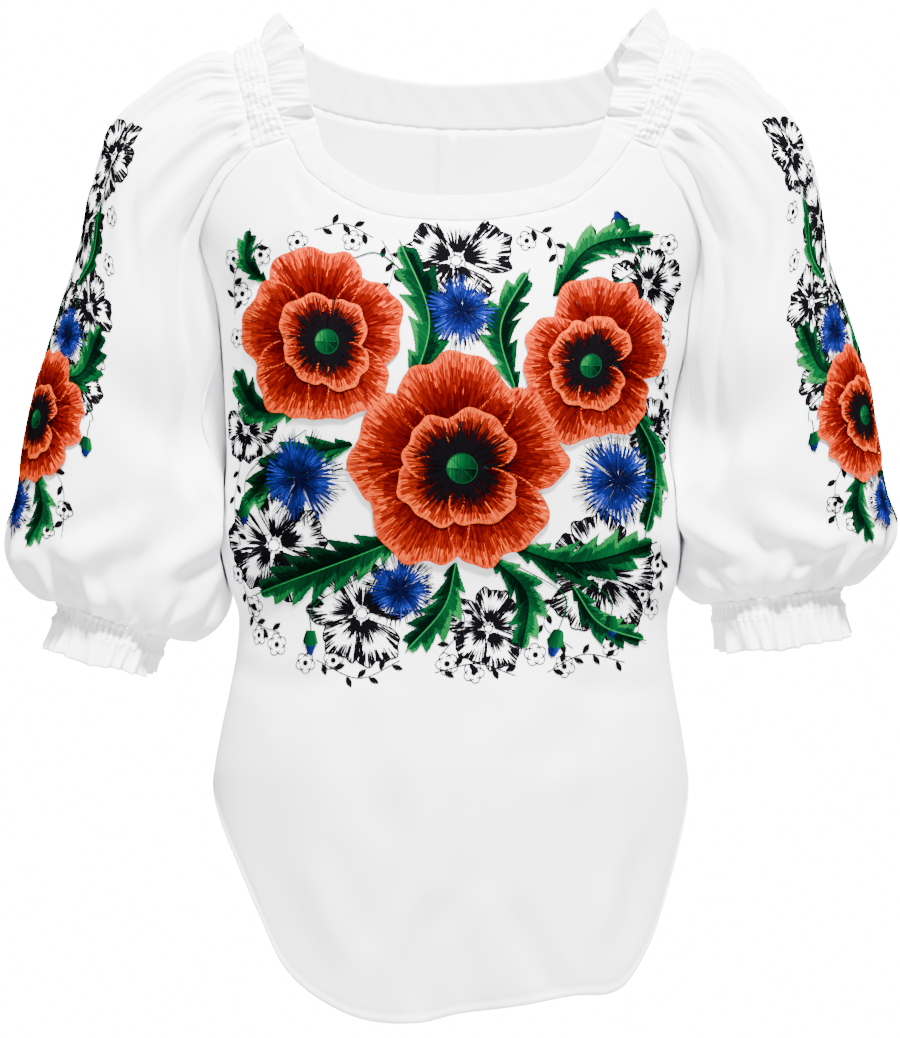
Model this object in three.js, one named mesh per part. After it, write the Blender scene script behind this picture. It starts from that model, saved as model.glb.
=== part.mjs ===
// A folk blouse of white poplin: raglan puff sleeves with elastic shirring at the shoulders and the
// cuffs, a wide scooped neck with bands, standing shoulder frills and a shirt-tail hem. It keeps the
// hollow shape it has when worn. Millimetres, +Z up, front to -Y. The origin lies between the
// shoulders, where the wearer carries it.
import * as THREE from "three";

// ---------- driving sizes ----------
const CLOTH = 1.2; // thickness of a cloth wall
const SEAM_GAP = 0.3; // clearance between two pieces that are sewn together
const SQUARENESS = 2.3; // power of the body sections: 2 is an ellipse, more is squarer
const SLEEVE_SQUARENESS = 2.15;
const UNDERARM_LEFT = -185; // height of the underarm points
const UNDERARM_RIGHT = -188;
const SIDE_HEM = -480; // height of the hem at the side seams
const BACK_HEM_SHORTER = 8; // how much higher the back tail ends than the front one
const BACK_SEAM_TURN = 2.062; // the centre-back seam runs just left of the middle
const SLEEVE_REST = 1.6; // clearance between a sleeve and the side of the body it hangs against
const WHITE = 0xf1f1f4;

// how many gathers, waves and steps each piece has
const HEAD_GATHERS = 12;
const SHOULDER_RIDGES = 20;
const FRILL_WAVES = 13;
const CUFF_GATHERS = 20;
const CUFF_FRILL_WAVES = 14;
const RAGLAN_STEPS = 8;
const CORNER_STEPS = 2;
const NECK_STEPS = 14;
const BODY_ROWS = 16;
const SLEEVE_ROWS = 16;
const BAND_ROWS = 2;
const SHIRRING_ROWS = 3;
const CUFF_ROWS = 2;
const FRILL_ROWS = 3;

// gathers, ridges and waves
const RIDGE_HEIGHT = 1.1; // of the shoulder shirring's ridges
const SHIRRING_ARCH = 1.2; // how far the shirring stands up between its edges
const CUFF_RIDGE = 0.85; // how far the cuff's gathers go out and in
const CUFF_WAIST = 1.2; // how far the elastic draws the cuff in halfway
const FRILL_WIDTH = 29; // from the root to the free edge of a shoulder frill
const FRILL_DEPTH = 4.2; // height of a shoulder frill's waves at its free edge
const FRILL_GROWTH = 0.8; // power by which a frill's waves grow from its root
const CUFF_FRILL_DEPTH = 3;
const HEAD_GATHER_DEPTH = 2.6; // of the gathers that spread from the shirring into the sleeve
const HEAD_GATHER_FADE = 0.09; // share of the sleeve over which they die away
const CUFF_GATHER_DEPTH = 2.4;
const CUFF_GATHER_START = 0.8; // share of the sleeve where the gathers above the cuff begin

// how the pieces meet
const CUFF_TOP = 0.035; // share of the cuff left free below the sleeve's end
const CUFF_FRILL_TOP = 1.045;
const HEAD_REACH = 0.42; // share of the sleeve over which the armhole's shape fades away
const HEAD_FADE = 2.2; // power of that fading
const HEAD_REST = 0.9; // clearance between a sleeve and the body close to the armhole
const SIDE_RADIUS = 155; // of the body at the side seams and at the centre back, for their gaps
const BACK_RADIUS = 72;
const BAND_LENGTH = 240; // of a neckband, for the gaps at its ends
const COLUMN_LEAN = 1.7; // power by which the panels' columns lean from the hem to their seams
const FRONT_CORNER_TURN = 0.26; // where the neck corners lie round the sleeve's first ring
const BACK_CORNER_TURN = 0.7;
const FRONT_CORNER_Z = -46; // height of the neck corners of the raglan seams
const BACK_CORNER_Z = -8;
const SLEEVE_LENGTH = 400; // along and round the sleeve, to place its folds
const SLEEVE_GIRTH = 420;

// ---------- tables: a row for each section ----------
// body sections by height: half widths to the left and right, depths to the front and back
const BODY = table("z left right front back", [
  [-670, 163, 161, 106, 96],
  [-600, 167, 166, 109, 99],
  [-480, 165, 166, 110, 100],
  [-448, 160, 162, 107, 97],
  [-420, 154, 157, 103, 91],
  [-392, 149, 153, 99, 84],
  [-366, 148, 152.5, 98, 80],
  [-345, 155, 158, 100, 79],
  [-320, 160, 161, 104, 80],
  [-288, 158, 158, 109, 83],
  [-252, 156, 153, 115, 88],
  [-217, 157, 156, 118, 92],
  [-182, 159, 164, 116, 94],
  [-150, 163, 168, 110, 95],
  [-122, 173, 177, 101, 93],
  [-96, 183, 184, 92, 90],
  [-70, 185, 187, 84, 86],
  [-45, 181, 187, 77, 82],
  [-8, 167, 181, 66, 75],
  [40, 150, 166, 52, 64],
]);

// raglan seams from the underarm (rise 0) to the neck corner (rise 1), as turns round the body:
// 0 is the centre front, 1 the side seam, 2 the centre back
const RAGLAN = table("rise frontLeft frontRight back", [
  [0, 1, 1, 1],
  [0.16, 0.955, 0.955, 1.045],
  [0.33, 0.925, 0.915, 1.085],
  [0.5, 0.905, 0.885, 1.12],
  [0.64, 0.875, 0.86, 1.15],
  [0.76, 0.835, 0.815, 1.18],
  [0.88, 0.785, 0.775, 1.21],
  [1, 0.745, 0.763, 1.24],
]);

// the front neckband from its left to its right end: free neck edge, and seam to the front
const FRONT_BAND = table("p edgeX edgeZ seamX seamZ", [
  [0, -91, -31, -110, -39],
  [0.12, -82, -53, -95, -65],
  [0.32, -48, -75, -54, -91],
  [0.5, -9, -80.5, -9, -98],
  [0.68, 34, -79, 36, -96.5],
  [0.84, 75, -69.5, 82, -85],
  [0.93, 96, -51.5, 109, -62],
  [1, 105, -31, 125, -40],
]);

// the back neckband in the same way
const BACK_BAND = table("p edgeX edgeZ seamX seamZ", [
  [0, -104, 36, -114, 2],
  [0.14, -84, 27, -90, -8],
  [0.3, -55, 18.5, -58, -15],
  [0.5, -9, 12, -9, -20],
  [0.68, 40, 13, 42, -20.5],
  [0.86, 84, 16, 92, -18],
  [1, 110, 22, 126, -9],
]);

// the hem by turn round the front, -1 and 1 at the side seams
const HEM = table("turn z", [
  [-1, -480],
  [-0.88, -499],
  [-0.774, -528],
  [-0.67, -569],
  [-0.59, -602],
  [-0.48, -624],
  [-0.33, -638],
  [-0.12, -640],
  [0.02, -634],
  [0.25, -629],
  [0.45, -622.5],
  [0.6, -619],
  [0.7, -589],
  [0.8, -539],
  [0.89, -504],
  [1, -479],
]);

// the shoulder over the top, from its front end (s 0) to its back end (s 1), outward positive:
// outer edge of the shirring, root of the frill and free edge of the frill
const SHOULDERS = {
  left: table("s outX outY outZ rootX rootY rootZ tipX tipY tipZ", [
    [0.2, 141, -43, -17, 122, -48, -10, 97, -57, -8],
    [0.4, 148, -25, 8, 127, -28, 15, 103, -39, 25],
    [0.55, 151, -3, 24, 133, -4, 34, 117, -9, 54],
    [0.75, 148, 22, 17, 129, 22, 28, 113, 20, 50],
  ]),
  right: table("s outX outY outZ rootX rootY rootZ tipX tipY tipZ", [
    [0.2, 156, -42, -15, 137, -48, -9, 112, -56, -6],
    [0.4, 165, -25, 10, 146, -28, 18, 122, -38, 26],
    [0.55, 170, -3, 26, 153, -5, 36, 138, -9, 56],
    [0.66, 169, 10, 25, 152, 9, 35, 146, 6, 59],
    [0.8, 163, 28, 16, 144, 28, 26, 126, 24, 44],
  ]),
};

// sleeve rings from the armhole (t 0) to the top of the cuff (t 1), outward positive:
// outermost and innermost point, middle from front to back, half depth, and how much narrower the
// inner side is than the outer one (egg)
const SLEEVES = {
  left: table("t outX outZ inX inZ midY deep egg", [
    [0, 151, 20, 160, -186, -4, 48, 0.62],
    [0.05, 175, 19, 157, -192, 0, 55, 0.6],
    [0.12, 207, 1, 154, -199, 5, 62, 0.5],
    [0.2, 239.5, -27, 151, -209, 10, 67, 0.38],
    [0.28, 253, -68, 150, -226, 15, 69, 0.27],
    [0.37, 263, -112, 150, -245, 18, 71, 0.15],
    [0.46, 276, -157, 150, -266, 21, 73, 0.06],
    [0.55, 288, -198, 150, -287, 22, 76, 0],
    [0.64, 298, -243, 151, -309, 23, 79, 0],
    [0.73, 305, -283, 151, -331, 22, 80, 0],
    [0.8, 312, -309, 153, -347, 20, 79, 0],
    [0.86, 309, -329, 156, -364, 16, 74, 0],
    [0.91, 298, -344, 164, -376, 10, 64, 0],
    [0.96, 284, -353, 179, -384, 4, 51, 0],
    [1, 274, -358, 198, -383, 0, 42, 0],
  ]),
  right: table("t outX outZ inX inZ midY deep egg", [
    [0, 168, 21, 165, -189, -4, 48, 0.62],
    [0.05, 190, 20, 162, -194, 0, 55, 0.6],
    [0.12, 218, 0, 159, -200, 5, 62, 0.5],
    [0.2, 245, -30, 156, -210, 10, 67, 0.38],
    [0.28, 259, -72, 154, -226, 15, 69, 0.27],
    [0.37, 266, -115, 153, -244, 18, 71, 0.15],
    [0.46, 280, -160, 152, -263, 21, 73, 0.06],
    [0.55, 292, -200, 152, -282, 22, 76, 0],
    [0.64, 299, -243, 153, -301, 23, 79, 0],
    [0.73, 306, -282, 154, -320, 22, 80, 0],
    [0.8, 312, -304, 156, -334, 20, 79, 0],
    [0.86, 306, -321, 158, -346, 16, 74, 0],
    [0.91, 294, -334, 165, -352, 10, 64, 0],
    [0.96, 283, -343, 175, -357, 4, 51, 0],
    [1, 273, -348, 184, -359, 0, 43, 0],
  ]),
};

// cuff rings below the sleeve, in the same way: v 0 top of the shirring, 1 its foot, 2 the frill hem
const CUFFS = {
  left: table("v outX outZ inX inZ midY deep egg", [
    [0, 274, -358, 198, -383, 0, 42, 0],
    [1, 276, -370, 202, -395, -2, 41, 0],
    [2, 282, -388, 207, -407, -5, 45, 0],
  ]),
  right: table("v outX outZ inX inZ midY deep egg", [
    [0, 273, -348, 184, -359, 0, 43, 0],
    [1, 274, -360, 184.5, -371, -2, 43, 0],
    [2, 278.5, -380, 189, -391, -5, 48, 0],
  ]),
};

// soft folds: from one point to another as seen from the front (x, z), their depth and half width
const BODY_FOLDS = table("face x1 z1 x2 z2 depth wide", [
  [1, -8, -560, -16, -640, 5, 15],
  [1, 62, -575, 84, -618, 4, 14],
  [1, 30, -545, 34, -626, -3, 14],
  [1, -118, -470, -96, -610, 4, 17],
  [1, -60, -360, -120, -430, 3, 20],
  [1, 100, -370, 60, -470, 3, 22],
  [1, 100, -66, 119, -110, 3, 7],
  [1, -103, -60, -96, -88, 2, 7],
  [-1, -60, -330, -90, -560, 5, 20],
  [-1, 70, -320, 95, -590, 5, 20],
  [-1, -110, -110, -75, -230, 4, 18],
  [-1, 118, -115, 80, -240, 4, 18],
]);

// folds on the sleeves: t and w give a place on the sleeve (w 0 inner, 0.25 front, 0.5 outer)
const SLEEVE_FOLDS = table("t1 w1 t2 w2 depth wide", [
  [0.04, 0.28, 0.26, 0.2, 5, 14],
  [0.05, 0.37, 0.26, 0.41, 4, 14],
  [0.62, 0.12, 0.9, 0.34, 6, 13],
  [0.45, 0.16, 0.8, 0.24, 4, 13],
  [0.8, 0.36, 0.97, 0.3, 4, 13],
  [0.05, 0.66, 0.3, 0.78, 5, 14],
  [0.5, 0.72, 0.9, 0.68, 5, 14],
  [0.6, 0.88, 0.93, 0.8, 5, 12],
]);

// ---------- small tools ----------
// a table with named columns: along(key, name) is a smooth curve of one column over another
function table(header, rows) {
  const names = header.split(" ");
  const column = (name) => rows.map((row) => row[names.indexOf(name)]);
  const entries = rows.map((row) => Object.fromEntries(names.map((name, i) => [name, row[i]])));
  return { entries, along: (key, name) => smoothCurve(column(key), column(name)) };
}

// a smooth curve through the points (xs, ys), with xs rising
function smoothCurve(xs, ys) {
  const end = xs.length - 1;
  const slopes = xs.map((_, i) => {
    const before = Math.max(i - 1, 0);
    const after = Math.min(i + 1, end);
    return (ys[after] - ys[before]) / (xs[after] - xs[before]);
  });
  return (x) => {
    let i = 0;
    while (i < end - 1 && x > xs[i + 1]) i += 1;
    const width = xs[i + 1] - xs[i];
    const t = clamp((x - xs[i]) / width, 0, 1);
    const start = (1 + 2 * t) * (1 - t) ** 2 * ys[i] + t * (1 - t) ** 2 * width * slopes[i];
    const finish = t * t * (3 - 2 * t) * ys[i + 1] - t * t * (1 - t) * width * slopes[i + 1];
    return start + finish;
  };
}

function clamp(value, low, high) {
  return Math.min(Math.max(value, low), high);
}

function mix(a, b, t) {
  return a + (b - a) * t;
}

function ease(t) {
  const c = clamp(t, 0, 1);
  return c * c * (3 - 2 * c);
}

const steps = (count) => Array.from({ length: count + 1 }, (_, i) => i / count);
const mixPoints = (a, b, t) => a.clone().lerp(b, t);

// unit normals of a grid of points; side 1 or -1 turns them to the outside
function gridNormals(grid, ring, side) {
  const rows = grid.length;
  const columns = grid[0].length;
  const at = (i, j) => {
    const column = ring ? (j + columns) % columns : clamp(j, 0, columns - 1);
    return grid[clamp(i, 0, rows - 1)][column];
  };
  return grid.map((row, i) =>
    row.map((_, j) => {
      const across = at(i, j + 1).clone().sub(at(i, j - 1));
      const along = at(i + 1, j).clone().sub(at(i - 1, j));
      return across.cross(along).multiplyScalar(side).normalize();
    }),
  );
}

// a closed cloth wall on a grid of outer points; ring joins the last column to the first.
// setNormals(normals) may correct the normals; relief raises the outside over a plain inside.
function clothWall(name, grid, { ring = false, side = 1, setNormals = null, relief = null } = {}) {
  const rows = grid.length;
  const columns = grid[0].length;
  const normals = gridNormals(grid, ring, side);
  if (setNormals) setNormals(normals);
  const outer = grid.map((row, i) =>
    row.map((point, j) => point.clone().addScaledVector(normals[i][j], relief ? relief(i, j) : 0)),
  );
  const inner = grid.map((row, i) =>
    row.map((point, j) => point.clone().addScaledVector(normals[i][j], -CLOTH)),
  );
  const points = [...outer.flat(), ...inner.flat()];
  const layer = rows * columns;
  const out = (i, j) => i * columns + (j % columns);
  const back = (i, j) => layer + out(i, j);
  const faces = [];
  const quad = (a, b, c, d) => {
    const even = points[a].distanceToSquared(points[c]) <= points[b].distanceToSquared(points[d]);
    const pair = even ? [a, b, c, a, c, d] : [a, b, d, b, c, d];
    if (side > 0) faces.push(...pair);
    else faces.push(...pair.reverse());
  };
  const spans = ring ? columns : columns - 1;
  for (let i = 0; i < rows - 1; i += 1) {
    for (let j = 0; j < spans; j += 1) {
      quad(out(i, j), out(i, j + 1), out(i + 1, j + 1), out(i + 1, j));
      quad(back(i + 1, j), back(i + 1, j + 1), back(i, j + 1), back(i, j));
    }
    if (!ring) {
      quad(out(i, 0), out(i + 1, 0), back(i + 1, 0), back(i, 0));
      quad(out(i + 1, spans), out(i, spans), back(i, spans), back(i + 1, spans));
    }
  }
  for (let j = 0; j < spans; j += 1) {
    quad(out(0, j + 1), out(0, j), back(0, j), back(0, j + 1));
    quad(out(rows - 1, j), out(rows - 1, j + 1), back(rows - 1, j + 1), back(rows - 1, j));
  }
  const geometry = new THREE.BufferGeometry();
  const positions = points.flatMap((point) => [point.x, point.y, point.z]);
  geometry.setAttribute("position", new THREE.Float32BufferAttribute(positions, 3));
  geometry.setIndex(faces);
  geometry.computeVertexNormals();
  const poplin = new THREE.MeshStandardMaterial({ color: WHITE, roughness: 0.75, metalness: 0 });
  const mesh = new THREE.Mesh(geometry, poplin);
  mesh.name = name;
  return mesh;
}

// the direction in the cloth square to an edge, at each of the edge's points
function edgeSides(points, normals, ring = false) {
  const count = points.length;
  return points.map((_, i) => {
    const before = ring ? (i + count - 1) % count : Math.max(i - 1, 0);
    const after = ring ? (i + 1) % count : Math.min(i + 1, count - 1);
    const tangent = points[after].clone().sub(points[before]).normalize();
    return normals[i].clone().cross(tangent).normalize();
  });
}

// moves each point of an edge by a distance in the cloth, square to the edge
function shiftEdge(points, normals, distance, ring = false) {
  const sides = edgeSides(points, normals, ring);
  return points.map((point, i) => point.clone().addScaledVector(sides[i], distance));
}

// keeps a wall's end face from leaning over the piece on the other side of its seam
function squareOff(normal, away) {
  return normal.addScaledVector(away, -Math.max(normal.dot(away), 0)).normalize();
}

// depth of a fold at a place: 1 on its line, fading to its sides and its ends
function foldAmount(x, z, x1, z1, x2, z2, wide) {
  const length = Math.hypot(x2 - x1, z2 - z1);
  const along = ((x - x1) * (x2 - x1) + (z - z1) * (z2 - z1)) / length;
  const across = ((x - x1) * (z2 - z1) - (z - z1) * (x2 - x1)) / length;
  const ends = ease(along / (0.35 * length) + 0.35) * ease((length - along) / (0.35 * length) + 0.35);
  return ends * Math.exp(-((across / wide) ** 2));
}

// ---------- the body ----------
const sign = { left: -1, right: 1 };
const underarm = { left: UNDERARM_LEFT, right: UNDERARM_RIGHT };
const bodyLeft = BODY.along("z", "left");
const bodyRight = BODY.along("z", "right");
const bodyFront = BODY.along("z", "front");
const bodyBack = BODY.along("z", "back");

// a point of the body by its turn (0 centre front, 1 right side, -1 left side, 2 centre back)
function bodyPoint(turn, z) {
  const angle = (turn * Math.PI) / 2;
  const s = Math.sin(angle);
  const c = Math.cos(angle);
  const half = s < 0 ? bodyLeft(z) : bodyRight(z);
  const depth = c > 0 ? bodyFront(z) : bodyBack(z);
  const sum = Math.abs(s / half) ** SQUARENESS + Math.abs(c / depth) ** SQUARENESS;
  const radius = sum ** (-1 / SQUARENESS);
  return new THREE.Vector3(radius * s, -radius * c, z);
}

function bodyNormal(turn, z) {
  const across = bodyPoint(turn + 0.01, z).sub(bodyPoint(turn - 0.01, z));
  const up = bodyPoint(turn, z + 1).sub(bodyPoint(turn, z - 1));
  return across.cross(up).normalize();
}

// the turn of the body point at a width and height, on the front (face 1) or the back (face -1)
function turnAt(x, z, face) {
  const half = x < 0 ? bodyLeft(z) : bodyRight(z);
  const depth = face > 0 ? bodyFront(z) : bodyBack(z);
  const share = Math.min(Math.abs(x / half), 1) ** SQUARENESS;
  const y = depth * (1 - share) ** (1 / SQUARENESS);
  const turn = Math.atan2(Math.abs(x), y) / (Math.PI / 2);
  return Math.sign(x) * (face > 0 ? turn : 2 - turn);
}

// the body's own soft folds at a point of the front or the back
function bodyFold(x, z, face) {
  return BODY_FOLDS.entries
    .filter((fold) => fold.face === face)
    .reduce((sum, f) => sum + f.depth * foldAmount(x, z, f.x1, f.z1, f.x2, f.z2, f.wide), 0);
}

const raglanFront = {
  left: RAGLAN.along("rise", "frontLeft"),
  right: RAGLAN.along("rise", "frontRight"),
};
const raglanBack = RAGLAN.along("rise", "back");

// a raglan seam place {turn, z}: rise 0 at the underarm, 1 at the neck corner
function raglanPlace(hand, face, rise) {
  const corner = face > 0 ? FRONT_CORNER_Z : BACK_CORNER_Z;
  const turn = face > 0 ? raglanFront[hand](rise) : raglanBack(rise);
  return { turn: sign[hand] * turn, z: mix(underarm[hand], corner, rise) };
}

const bandOf = (face) => (face > 0 ? FRONT_BAND : BACK_BAND);

// a neckband place {turn, z} on its seam or its free edge, p 0 at the left end, 1 at the right
function bandPlace(face, line, p) {
  const x = bandOf(face).along("p", `${line}X`)(p);
  const z = bandOf(face).along("p", `${line}Z`)(p);
  return { turn: turnAt(x, z, face), z };
}

// places from a neck corner of the raglan seam to the end of the neckband's seam
function cornerPlaces(hand, face) {
  const from = raglanPlace(hand, face, 1);
  const to = bandPlace(face, "seam", hand === "left" ? 0 : 1);
  return steps(CORNER_STEPS).map((t) => mixPlaces(from, to, t));
}

// a place between two others; turns of the back count on past 2, so that they meet there
function mixPlaces(a, b, t) {
  const turn = Math.abs(a.turn - b.turn) > 2 ? b.turn + 4 * Math.sign(a.turn) : b.turn;
  return { turn: mix(a.turn, turn, t), z: mix(a.z, b.z, t) };
}

const placePoint = ({ turn, z }) => bodyPoint(turn, z);
const placeNormal = ({ turn, z }) => bodyNormal(turn, z);

// the top outline of a panel over one hand: raglan seam, then corner, up to the neckband's end
function handOutline(hand, face) {
  const raglan = steps(RAGLAN_STEPS).map((rise) => raglanPlace(hand, face, rise));
  return [...raglan, ...cornerPlaces(hand, face).slice(1)];
}

function hemHeight(turn) {
  const front = HEM.along("turn", "z");
  if (Math.abs(turn) <= 1) return front(turn);
  const fromMiddle = Math.abs(Math.abs(turn) - 2);
  const mirrored = 0.5 * (front(-fromMiddle) + front(fromMiddle));
  return mirrored + BACK_HEM_SHORTER * ease((1 - fromMiddle) * 3);
}

// a body panel between its hem and its top outline, set back from its seams by half a gap
function bodyPanel(name, places, fromTurn, toTurn, face) {
  const radius = (turn) => (Math.abs(turn) === 1 ? SIDE_RADIUS : BACK_RADIUS);
  const low = fromTurn + SEAM_GAP / Math.PI / radius(fromTurn);
  const high = toTurn - SEAM_GAP / Math.PI / radius(toTurn);
  const outline = places.map(({ turn, z }) => ({ turn: clamp(turn, low, high), z }));
  const top = shiftEdge(outline.map(placePoint), outline.map(placeNormal), -SEAM_GAP / 2);
  const last = places.length - 1;
  const normals = [];
  const grid = steps(BODY_ROWS).map((v) => {
    const rowNormals = [];
    normals.push(rowNormals);
    return outline.map((place, j) => {
      const foot = mix(low, high, j / last);
      const turn = mix(foot, place.turn, v ** COLUMN_LEAN);
      const z = mix(hemHeight(foot), place.z, v);
      const normal = bodyNormal(turn, z);
      rowNormals.push(normal);
      if (v === 1) return top[j];
      const point = bodyPoint(turn, z);
      const away = ease((1 - v) * 12);
      return point.addScaledVector(normal, -away * bodyFold(point.x, z, face));
    });
  });
  const setNormals = (own) => own.forEach((row, i) => row.forEach((n, j) => n.copy(normals[i][j])));
  return clothWall(name, grid, { setNormals });
}

function frontPanel() {
  const neck = steps(NECK_STEPS).map((p) => bandPlace(1, "seam", p));
  const right = handOutline("right", 1).reverse();
  return bodyPanel("front", [...handOutline("left", 1), ...neck.slice(1), ...right.slice(1)], -1, 1, 1);
}

// half of the back, from the side seam to the centre-back seam
function backPanel(hand) {
  const half = steps(NECK_STEPS / 2).map((t) => bandPlace(-1, "seam", hand === "left" ? t / 2 : 1 - t / 2));
  const outline = [...handOutline(hand, -1), ...half.slice(1)];
  if (hand === "left") return bodyPanel("back_left", outline.reverse(), BACK_SEAM_TURN - 4, -1, -1);
  const onward = outline.map(({ turn, z }) => ({ turn: turn < 0 ? turn + 4 : turn, z }));
  return bodyPanel("back_right", onward, 1, BACK_SEAM_TURN, -1);
}

// a neckband from its seam up to its free edge, set back from the panel and from the frills
function neckband(name, face) {
  const ends = SEAM_GAP / 2 / BAND_LENGTH;
  const places = steps(NECK_STEPS).map((step) => {
    const p = mix(ends, 1 - ends, step);
    return { seam: bandPlace(face, "seam", p), edge: bandPlace(face, "edge", p) };
  });
  if (face < 0) places.reverse();
  const seams = places.map(({ seam }) => seam);
  const foot = shiftEdge(seams.map(placePoint), seams.map(placeNormal), SEAM_GAP / 2);
  const between = ({ seam, edge }, v) => mixPlaces(seam, edge, v);
  const grid = steps(BAND_ROWS).map((v) =>
    places.map((place, j) => (v === 0 ? foot[j] : placePoint(between(place, v)))),
  );
  const setNormals = (normals) => {
    normals.forEach((row, i) => {
      row.forEach((normal, j) => normal.copy(placeNormal(between(places[j], i / BAND_ROWS))));
    });
  };
  return clothWall(name, grid, { setNormals });
}

// ---------- the shoulders ----------
// where the three shoulder lines start on the front and end on the back
function shoulderEnds(hand) {
  const first = hand === "left" ? 0 : 1;
  return {
    out: [raglanPlace(hand, 1, 1), raglanPlace(hand, -1, 1)],
    root: [bandPlace(1, "seam", first), bandPlace(-1, "seam", first)],
    tip: [bandPlace(1, "edge", first), bandPlace(-1, "edge", first)],
  };
}

// the three shoulder lines (out, root and tip) as curves of s, 0 at the front end, 1 at the back
function shoulderLines(hand) {
  const lines = {};
  Object.entries(shoulderEnds(hand)).forEach(([line, places]) => {
    const [front, back] = places.map(placePoint);
    const rows = SHOULDERS[hand].entries.map((row) => [
      row.s, sign[hand] * row[`${line}X`], row[`${line}Y`], row[`${line}Z`],
    ]);
    const all = [[0, front.x, front.y, front.z], ...rows, [1, back.x, back.y, back.z]];
    const column = (axis) => all.map((row) => row[axis]);
    const curves = [1, 2, 3].map((axis) => smoothCurve(column(0), column(axis)));
    lines[line] = (s) => new THREE.Vector3(...curves.map((curve) => curve(s)));
  });
  return lines;
}

const shoulders = { left: shoulderLines("left"), right: shoulderLines("right") };

// unit normal of the shoulder strip between two of its lines
function shoulderNormal(hand, low, high, s) {
  const lines = shoulders[hand];
  const before = lines[low](Math.max(s - 0.02, 0));
  const after = lines[low](Math.min(s + 0.02, 1));
  const inward = lines[high](s).sub(lines[low](s));
  return inward.cross(after.sub(before)).multiplyScalar(-sign[hand]).normalize();
}

// a strip over the shoulder between two of its lines; lift(s, v) moves it along its normal
function shoulderStrip(name, hand, low, high, columns, rows, lift, relief) {
  const ends = shoulderEnds(hand);
  const start = low === "root" ? SEAM_GAP / FRILL_WIDTH : 0;
  const endPlace = (step, v) => mixPlaces(ends[low][step], ends[high][step], mix(start, 1, v));
  const grid = steps(rows).map((v) =>
    steps(columns).map((step) => {
      if (step === 0 || step === 1) {
        const place = endPlace(step, v);
        const along = shoulders[hand][low](Math.abs(step - 0.03)).sub(shoulders[hand][low](step));
        const normal = placeNormal(place);
        along.addScaledVector(normal, -along.dot(normal)).normalize();
        return placePoint(place).addScaledVector(along, SEAM_GAP / 2);
      }
      const from = shoulders[hand][low](step);
      const to = shoulders[hand][high](step);
      const point = mixPoints(from, to, mix(start, 1, v));
      return point.addScaledVector(shoulderNormal(hand, low, high, step), lift(step, v));
    }),
  );
  const setNormals = (normals) => {
    const rootRow = normals[low === "root" ? 0 : rows];
    rootRow.forEach((normal, j) => {
      const shirring = shoulderNormal(hand, "out", "root", j / columns);
      normal.copy(shirring.add(shoulderNormal(hand, "root", "tip", j / columns)).normalize());
    });
    if (low === "out") {
      normals[0].forEach((normal, j) => {
        const inward = grid[1][j].clone().sub(grid[0][j]).normalize();
        normal.copy(squareOff(normal, inward));
      });
    }
    normals.forEach((row, i) => {
      row[0].copy(placeNormal(endPlace(0, i / rows)));
      row[columns].copy(placeNormal(endPlace(1, i / rows)));
    });
  };
  return clothWall(name, grid, { side: sign[hand], setNormals, relief });
}

// the gathered band of elastic rows: small ridges on its outside, quiet at its edges
function shoulderShirring(hand) {
  const columns = 2 * SHOULDER_RIDGES;
  const arch = (s, v) => SHIRRING_ARCH * Math.sin(Math.PI * v);
  const ridge = (i, j) => (j % 2 === 1 ? RIDGE_HEIGHT : 0);
  return shoulderStrip(`shoulder_shirring_${hand}`, hand, "out", "root", columns, SHIRRING_ROWS, arch, ridge);
}

// the frill that stands above the shirring in uneven waves
function shoulderFrill(hand) {
  const columns = 4 * FRILL_WAVES;
  const phase = hand === "left" ? 0.4 : 1.3;
  const wave = (s, v) => {
    const quiet = ease(s / 0.08) * ease((1 - s) / 0.08);
    const uneven = s + 0.009 * Math.sin(15 * s + phase) + 0.006 * Math.sin(37 * s + phase);
    const top = Math.exp(-(((s - 0.58) / 0.16) ** 2));
    const height = FRILL_DEPTH * (1 + 0.3 * Math.sin(11 * s + 2 * phase) + 0.7 * top);
    const swing = Math.sin(2 * Math.PI * FRILL_WAVES * uneven);
    return quiet * (height * v ** FRILL_GROWTH * swing + SHIRRING_ARCH * Math.sin(Math.PI * v));
  };
  return shoulderStrip(`shoulder_frill_${hand}`, hand, "root", "tip", columns, FRILL_ROWS, wave, null);
}

// ---------- the sleeves ----------
// the armhole: raglan seam up the front, over the shoulder along the shirring, and down the back
function armhole(hand) {
  const front = steps(RAGLAN_STEPS).map((rise) => raglanPlace(hand, 1, rise));
  const back = steps(RAGLAN_STEPS).map((rise) => raglanPlace(hand, -1, 1 - rise));
  const over = steps(2 * HEAD_GATHERS).slice(1, -1);
  const points = [
    ...front.map(placePoint),
    ...over.map((s) => shoulders[hand].out(s)),
    ...back.slice(0, -1).map(placePoint),
  ];
  const normals = [
    ...front.map(placeNormal),
    ...over.map((s) => shoulderNormal(hand, "out", "root", s)),
    ...back.slice(0, -1).map(placeNormal),
  ];
  const away = edgeSides(points, normals, true).map((side) => side.multiplyScalar(-sign[hand]));
  points.forEach((point, i) => {
    point.addScaledVector(away[i], 1.4 * SEAM_GAP).addScaledVector(normals[i], SEAM_GAP / 2);
  });
  return { points, away };
}

// how far round the sleeve a column lies at its head, from the inner point (0) over the front
function headTurn(j, columns) {
  const back = columns - RAGLAN_STEPS;
  if (j <= RAGLAN_STEPS) return mix(0, FRONT_CORNER_TURN, j / RAGLAN_STEPS);
  const over = (j - RAGLAN_STEPS) / (back - RAGLAN_STEPS);
  if (j <= back) return mix(FRONT_CORNER_TURN, BACK_CORNER_TURN, over);
  return mix(BACK_CORNER_TURN, 1, (j - back) / RAGLAN_STEPS);
}

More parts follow.
